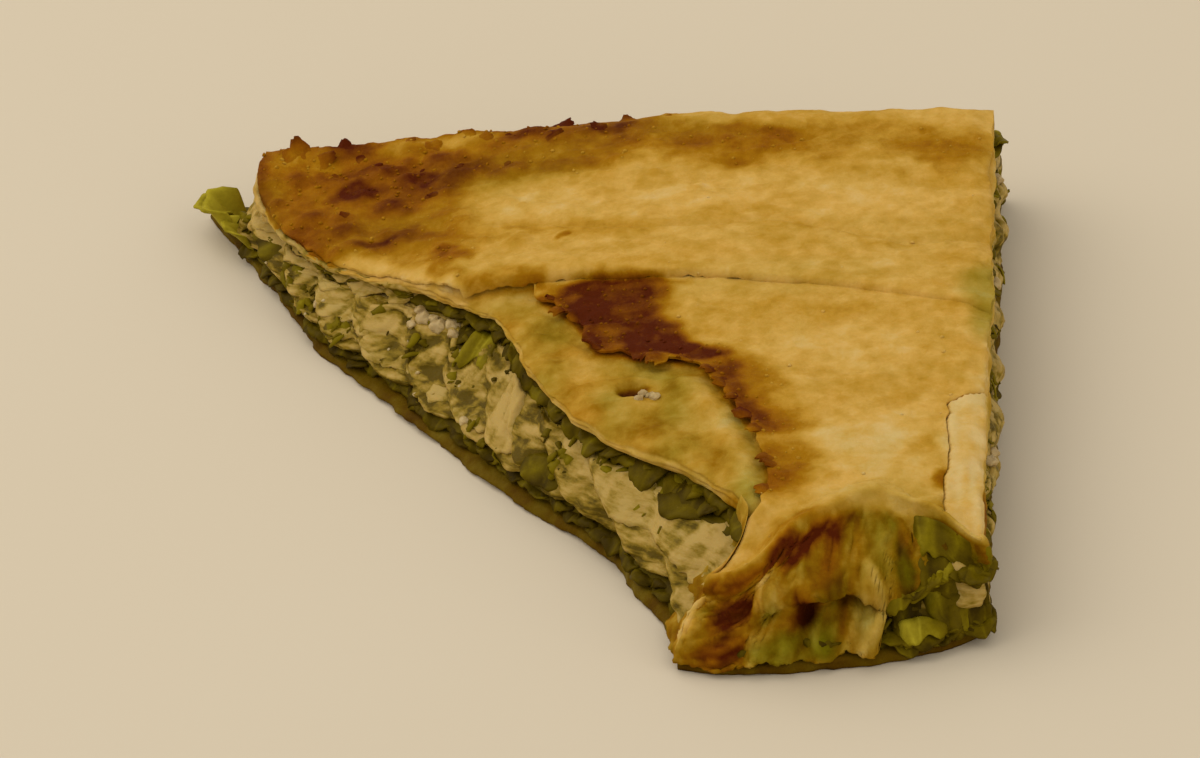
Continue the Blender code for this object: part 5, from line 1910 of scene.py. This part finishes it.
def crumb(shape, number):
    """Uneven crumb one unit across."""
    points, faces = ball(1, 0.5)
    points = points * (1.0 + 0.7 * ripple(points[:, 0] + number, points[:, 1], points[:, 2], 0.6))[:, None]
    shape.add(points[:, 0], points[:, 1], points[:, 2] * 0.7, faces)


def shred(shape, number):
    """Bent shred of leaf one unit long."""
    along, side = grid(np.linspace(-1.0, 1.0, 7), np.linspace(-1.0, 1.0, 3))
    half = 0.13 + 0.05 * number
    y = half * side * (1.0 - 0.6 * along * along) + 0.16 * math.sin(number * 2.1) * along * along
    z = 0.12 * np.cos(along * (1.5 + number)) - 0.3 * half * side * side
    add_thin_grid(shape, along * 0.5, y, z, 0.06)


def bit_meshes(make, count=4):
    """Small shapes of one kind, each a little different."""
    found = []
    for number in range(count):
        shape = Shape()
        make(shape, number)
        mesh = shape.mesh(f"{make.__name__}_{number}")
        for vertex in mesh.vertices:
            vertex.co /= MM
        found.append(mesh)
    return found


def crumbs_on_crust(amount):
    """Fine crumbs on the browned parts of the crust."""
    shape = Shape("amount", "bake", "olive")
    for ring, ply in ((back_ply_ring(), "back"), (front_ply_ring(), "front")):
        places, faces = fill(ring, CRUMB_HOST_PITCH)
        x, y = places.T
        bake = bake_field(x, y)
        shape.add(x, y, ply_top(ply, x, y), faces, amount=smooth(0.42, 0.75, bake) + 0.02,
                  bake=held(bake - 0.12), olive=0.1)
    host = shape.mesh("crumb_host")
    return strew("crust_crumbs", host, bit_meshes(crumb), "baked_crust", amount, *CRUST_CRUMBS)


def face_host(amount_of):
    """Coarse surface over the middle pastry's face, with how thick bits lie on it."""
    shape = Shape("amount")
    down, at = grid(np.linspace(0.12, 0.95, 20), along_rim(*STREWN_AT, 0.25))
    x, y, z = over_face(at, down, np.full(at.shape, 0.35))
    shape.add(x, y, z, grid_faces(*at.shape), amount=held(amount_of(at, down)))
    return shape.mesh("face_host")


def near_gaps(at, down):
    """Where shreds of leaf lie on the face: near its gaps, clear of the crust and the wrap."""
    clear = smooth(0.12, 0.3, down) * (1.0 - wrapped(at))
    return smooth(-0.1, 0.5, ripple(at, down * 3.0, 301.0, 1.6)) * clear


def here_and_there(at, down):
    """Where crumbs of cheese lie on the face."""
    return smooth(0.1, 0.45, ripple(at, down * 2.0, 302.0, 2.2)) * (1.0 - wrapped(at))


def size_choice(name, description, default, low, high, unit="NONE"):
    return bpy.props.FloatProperty(
        name=name, description=description, default=default, min=low, max=high, unit=unit)


class BorekSizes(bpy.types.PropertyGroup):
    """Sizes of the slice's fine parts."""

    ply_thickness: size_choice(
        "Ply thickness", "Thickness of the crust's two upper plies, in millimetres", 0.5, 0.2, 1.0)
    bubble_rise: size_choice(
        "Bubble rise", "Height of the crust's bubbles against their radius", 0.26, 0.0, 0.6)
    crease_rise: size_choice(
        "Crease rise", "Strength of the small creases along the crust's plies", 1.0, 0.0, 2.0)
    leaves: size_choice(
        "Leaves", "Share of the usual number of leaves that come out of the greens", 1.0, 0.0, 2.0)
    crumbs: size_choice(
        "Crumbs", "Crumbs on a square millimetre of browned crust", 0.25, 0.0, 2.0)
    shreds: size_choice(
        "Shreds", "Shreds of leaf on a square millimetre of the dough's face", 0.5, 0.0, 2.0)


def colour_choice(name, description, red, green, blue):
    return bpy.props.FloatVectorProperty(
        name=name, description=description, subtype="COLOR_GAMMA", size=3, min=0.0, max=1.0,
        default=(red / 255, green / 255, blue / 255))


class BorekColours(bpy.types.PropertyGroup):
    """Screen colours of the slice's surfaces."""

    crust_cream: colour_choice("Crust cream", "Palest crust", 208, 178, 116)
    crust_pale: colour_choice("Crust pale", "Lightly baked crust", 203, 160, 78)
    crust_gold: colour_choice("Crust gold", "Golden crust", 184, 138, 46)
    crust_ochre: colour_choice("Crust ochre", "Well baked crust", 158, 108, 10)
    crust_brown: colour_choice("Crust brown", "Browned crust", 138, 83, 4)
    crust_dark: colour_choice("Crust dark", "Dark browned crust", 110, 57, 3)
    crust_burnt: colour_choice("Crust burnt", "Burnt crust", 80, 28, 4)
    olive_tint: colour_choice("Olive tint", "Tint of the crust where greens show through", 150, 190, 52)
    dough_cream: colour_choice("Dough cream", "Palest soft dough", 178, 148, 80)
    dough_beige: colour_choice("Dough beige", "Moist dough", 163, 134, 62)
    dough_olive: colour_choice("Dough olive", "Dough stained by the greens", 134, 109, 30)
    dough_green: colour_choice("Dough green", "Greens in the folds of the dough", 88, 70, 8)
    leaf_black: colour_choice("Leaf black", "Darkest leaves", 60, 46, 2)
    leaf_dark: colour_choice("Leaf dark", "Dark leaves", 92, 76, 3)
    leaf_olive: colour_choice("Leaf olive", "Olive leaves", 120, 104, 8)
    leaf_bright: colour_choice("Leaf bright", "Brightest leaves and stalks", 166, 150, 36)
    cheese: colour_choice("Cheese", "White cheese", 192, 166, 112)
    cheese_shade: colour_choice("Cheese shade", "Cheese in its hollows", 158, 130, 76)


class BorekStage(bpy.types.PropertyGroup):
    """Camera, floor and light."""

    lens: bpy.props.FloatProperty(
        name="Lens", description="Focal length of the camera in millimetres", default=225.44, unit="CAMERA")
    floor_colour: colour_choice("Floor", "Colour of the floor", 206, 192, 167)
    key: size_choice(
        "Key light", "Strength of the large light from the upper left", 10.9, 0.0, 100.0, "POWER")
    fill: size_choice(
        "Fill light", "Strength of the soft light from the right", 3.5, 0.0, 100.0, "POWER")
    sky: size_choice("Sky", "Strength of the even light from all round", 0.65, 0.0, 10.0)


CAMERA_PLACE = (0.098974, -0.851141, 0.564915)
CAMERA_TARGET = (0.004, 0.001, 0.008)
CAMERA_ROLL = math.radians(-5.1426)
CAMERA_NEAR = 0.01
FLOOR_HALF = 2.5
FLOOR_HEIGHT = -0.0001
SKY_COLOUR = (1.0, 0.96, 0.89, 1.0)

# Lights: place, size and colour
KEY_LIGHT = ((-0.8, 0.3, 0.95), 1.9, (1.0, 0.955, 0.88))
FILL_LIGHT = ((0.9, -0.7, 0.7), 1.2, (1.0, 0.97, 0.9))


def add_light(name, power, place, size, colour):
    light = bpy.data.lights.new(name, "AREA")
    light.shape = "DISK"
    light.size = size
    light.energy = power
    light.color = colour
    item = bpy.data.objects.new(name, light)
    item.location = place
    item.rotation_euler = (-Vector(place)).to_track_quat("-Z", "Y").to_euler()
    bpy.context.scene.collection.objects.link(item)


class BOREK_OT_stage(bpy.types.Operator):
    """Make the floor, the lights and the camera"""

    bl_idname = "borek.stage"
    bl_label = "Stage"

    def execute(self, context):
        scene = context.scene
        stage = scene.borek_stage
        scene.view_settings.view_transform = "Standard"
        mesh = bpy.data.meshes.new("floor")
        corners = [(x * FLOOR_HALF, y * FLOOR_HALF, FLOOR_HEIGHT)
                   for x, y in ((-1, -1), (1, -1), (1, 1), (-1, 1))]
        mesh.from_pydata(corners, [], [(0, 1, 2, 3)])
        mesh.materials.append(floor_finish(stage))
        floor = bpy.data.objects.new("floor", mesh)
        scene.collection.objects.link(floor)
        scene.world = bpy.data.worlds.new("even_light")
        scene.world.use_nodes = True
        tree = scene.world.node_tree
        set_inputs(tree, tree.nodes["Background"], {"Color": SKY_COLOUR, "Strength": stage.sky})
        add_light("key_light", stage.key, *KEY_LIGHT)
        add_light("fill_light", stage.fill, *FILL_LIGHT)
        camera = bpy.data.objects.new("camera", bpy.data.cameras.new("camera"))
        camera.data.lens = stage.lens
        camera.data.clip_start = CAMERA_NEAR
        toward = (Vector(CAMERA_TARGET) - Vector(CAMERA_PLACE)).to_track_quat("-Z", "Y").to_matrix()
        turned = toward @ Matrix.Rotation(CAMERA_ROLL, 3, "Z")
        camera.matrix_world = Matrix.Translation(CAMERA_PLACE) @ turned.to_4x4()
        scene.collection.objects.link(camera)
        scene.camera = camera
        return {"FINISHED"}


class BOREK_OT_base(bpy.types.Operator):
    """Make the toasted base"""

    bl_idname = "borek.base"
    bl_label = "Bottom pastry"

    def execute(self, context):
        finish_piece("base_crust", bottom_mesh(), "toasted_base", "bottom_pastry")
        return {"FINISHED"}


class BOREK_OT_lower_greens(bpy.types.Operator):
    """Make the lower greens and their leaves"""

    bl_idname = "borek.lower_greens"
    bl_label = "Lower greens"

    def execute(self, context):
        finish_piece("lower_greens_bed", lower_greens_mesh(), "cooked_greens", "lower_greens")
        finish_piece("lower_leaves", lower_leaves_mesh(), "cooked_greens", "lower_greens")
        return {"FINISHED"}


class BOREK_OT_middle_pastry(bpy.types.Operator):
    """Make the folded soft dough"""

    bl_idname = "borek.middle_pastry"
    bl_label = "Middle pastry"

    def execute(self, context):
        finish_piece("pastry_heart", heart_mesh(), "soft_dough", "middle_pastry")
        finish_piece("dough_sheets", drapes_mesh(), "soft_dough", "middle_pastry")
        return {"FINISHED"}


class BOREK_OT_filling(bpy.types.Operator):
    """Make the cheese and the shreds of leaf on the dough"""

    bl_idname = "borek.filling"
    bl_label = "Filling"

    def execute(self, context):
        amount = context.scene.borek_sizes.shreds
        finish_piece("cheese", cheese_mesh(), "white_cheese", "middle_pastry")
        shreds = strew("green_shreds", face_host(near_gaps), bit_meshes(shred), "cooked_greens",
                       amount, *LEAF_SHREDS)
        finish_piece("green_shreds", shreds, "cooked_greens", "middle_pastry", loose=True)
        crumbs = strew("cheese_crumbs", face_host(here_and_there), bit_meshes(crumb), "white_cheese",
                       CHEESE_CRUMBS_AMOUNT, *CHEESE_CRUMBS)
        finish_piece("cheese_crumbs", crumbs, "white_cheese", "middle_pastry", loose=True)
        return {"FINISHED"}


class BOREK_OT_upper_greens(bpy.types.Operator):
    """Make the upper greens and their leaves"""

    bl_idname = "borek.upper_greens"
    bl_label = "Upper greens"

    def execute(self, context):
        finish_piece("upper_greens_bed", upper_greens_mesh(), "cooked_greens", "upper_greens")
        finish_piece("upper_leaves", upper_leaves_mesh(), "cooked_greens", "upper_greens")
        return {"FINISHED"}


class BOREK_OT_crust(bpy.types.Operator):
    """Make the crust's body, its wrap and its two upper plies"""

    bl_idname = "borek.crust"
    bl_label = "Crust"

    def execute(self, context):
        thickness = context.scene.borek_sizes.ply_thickness
        finish_piece("crust_body", crust_body_mesh(), "baked_crust", "top_pastry")
        finish_piece("crust_wrap", wrap_mesh(), "baked_crust", "top_pastry")
        for name, ring, ply in (("crust_back_ply", back_ply_ring(), "back"),
                                ("crust_front_ply", front_ply_ring(), "front")):
            mesh = ply_mesh(name, ring, ply, thickness)
            finish_piece(name, mesh, "baked_crust", "top_pastry", sharp=SHARP_ANGLE)
        return {"FINISHED"}


class BOREK_OT_flakes(bpy.types.Operator):
    """Make the chips and crumbs of dry pastry on the crust"""

    bl_idname = "borek.flakes"
    bl_label = "Flakes and crumbs"

    def execute(self, context):
        crumbs = context.scene.borek_sizes.crumbs
        finish_piece("crust_flakes", flakes_mesh(), "baked_crust", "top_pastry", sharp=SHARP_ANGLE)
        finish_piece("crust_crumbs", crumbs_on_crust(crumbs), "baked_crust", "top_pastry", loose=True)
        return {"FINISHED"}


STEPS = (BOREK_OT_stage, BOREK_OT_base, BOREK_OT_lower_greens, BOREK_OT_middle_pastry, BOREK_OT_filling,
         BOREK_OT_upper_greens, BOREK_OT_crust, BOREK_OT_flakes)


class BOREK_PT_panel(bpy.types.Panel):
    """Sizes, colours and steps of the slice"""

    bl_idname = "BOREK_PT_panel"
    bl_label = "Borek slice"
    bl_space_type = "VIEW_3D"
    bl_region_type = "UI"
    bl_category = "Borek"

    def draw(self, context):
        for step in STEPS:
            self.layout.operator(step.bl_idname)
        for settings in (context.scene.borek_sizes, context.scene.borek_colours, context.scene.borek_stage):
            box = self.layout.box()
            for name in settings.bl_rna.properties.keys():
                if name not in ("rna_type", "name"):
                    box.prop(settings, name)


GROUPS = (("borek_sizes", BorekSizes), ("borek_colours", BorekColours), ("borek_stage", BorekStage))


def register():
    for name, group in GROUPS:
        bpy.utils.register_class(group)
        setattr(bpy.types.Scene, name, bpy.props.PointerProperty(type=group))
    for item in (*STEPS, BOREK_PT_panel):
        bpy.utils.register_class(item)


def unregister():
    for item in (BOREK_PT_panel, *reversed(STEPS)):
        bpy.utils.unregister_class(item)
    for name, group in reversed(GROUPS):
        delattr(bpy.types.Scene, name)
        bpy.utils.unregister_class(group)


def main():
    register()
    bpy.ops.borek.stage()
    bpy.ops.borek.base()
    bpy.ops.borek.lower_greens()
    bpy.ops.borek.middle_pastry()
    bpy.ops.borek.filling()
    bpy.ops.borek.upper_greens()
    bpy.ops.borek.crust()
    bpy.ops.borek.flakes()


if __name__ == "__main__":
    main()
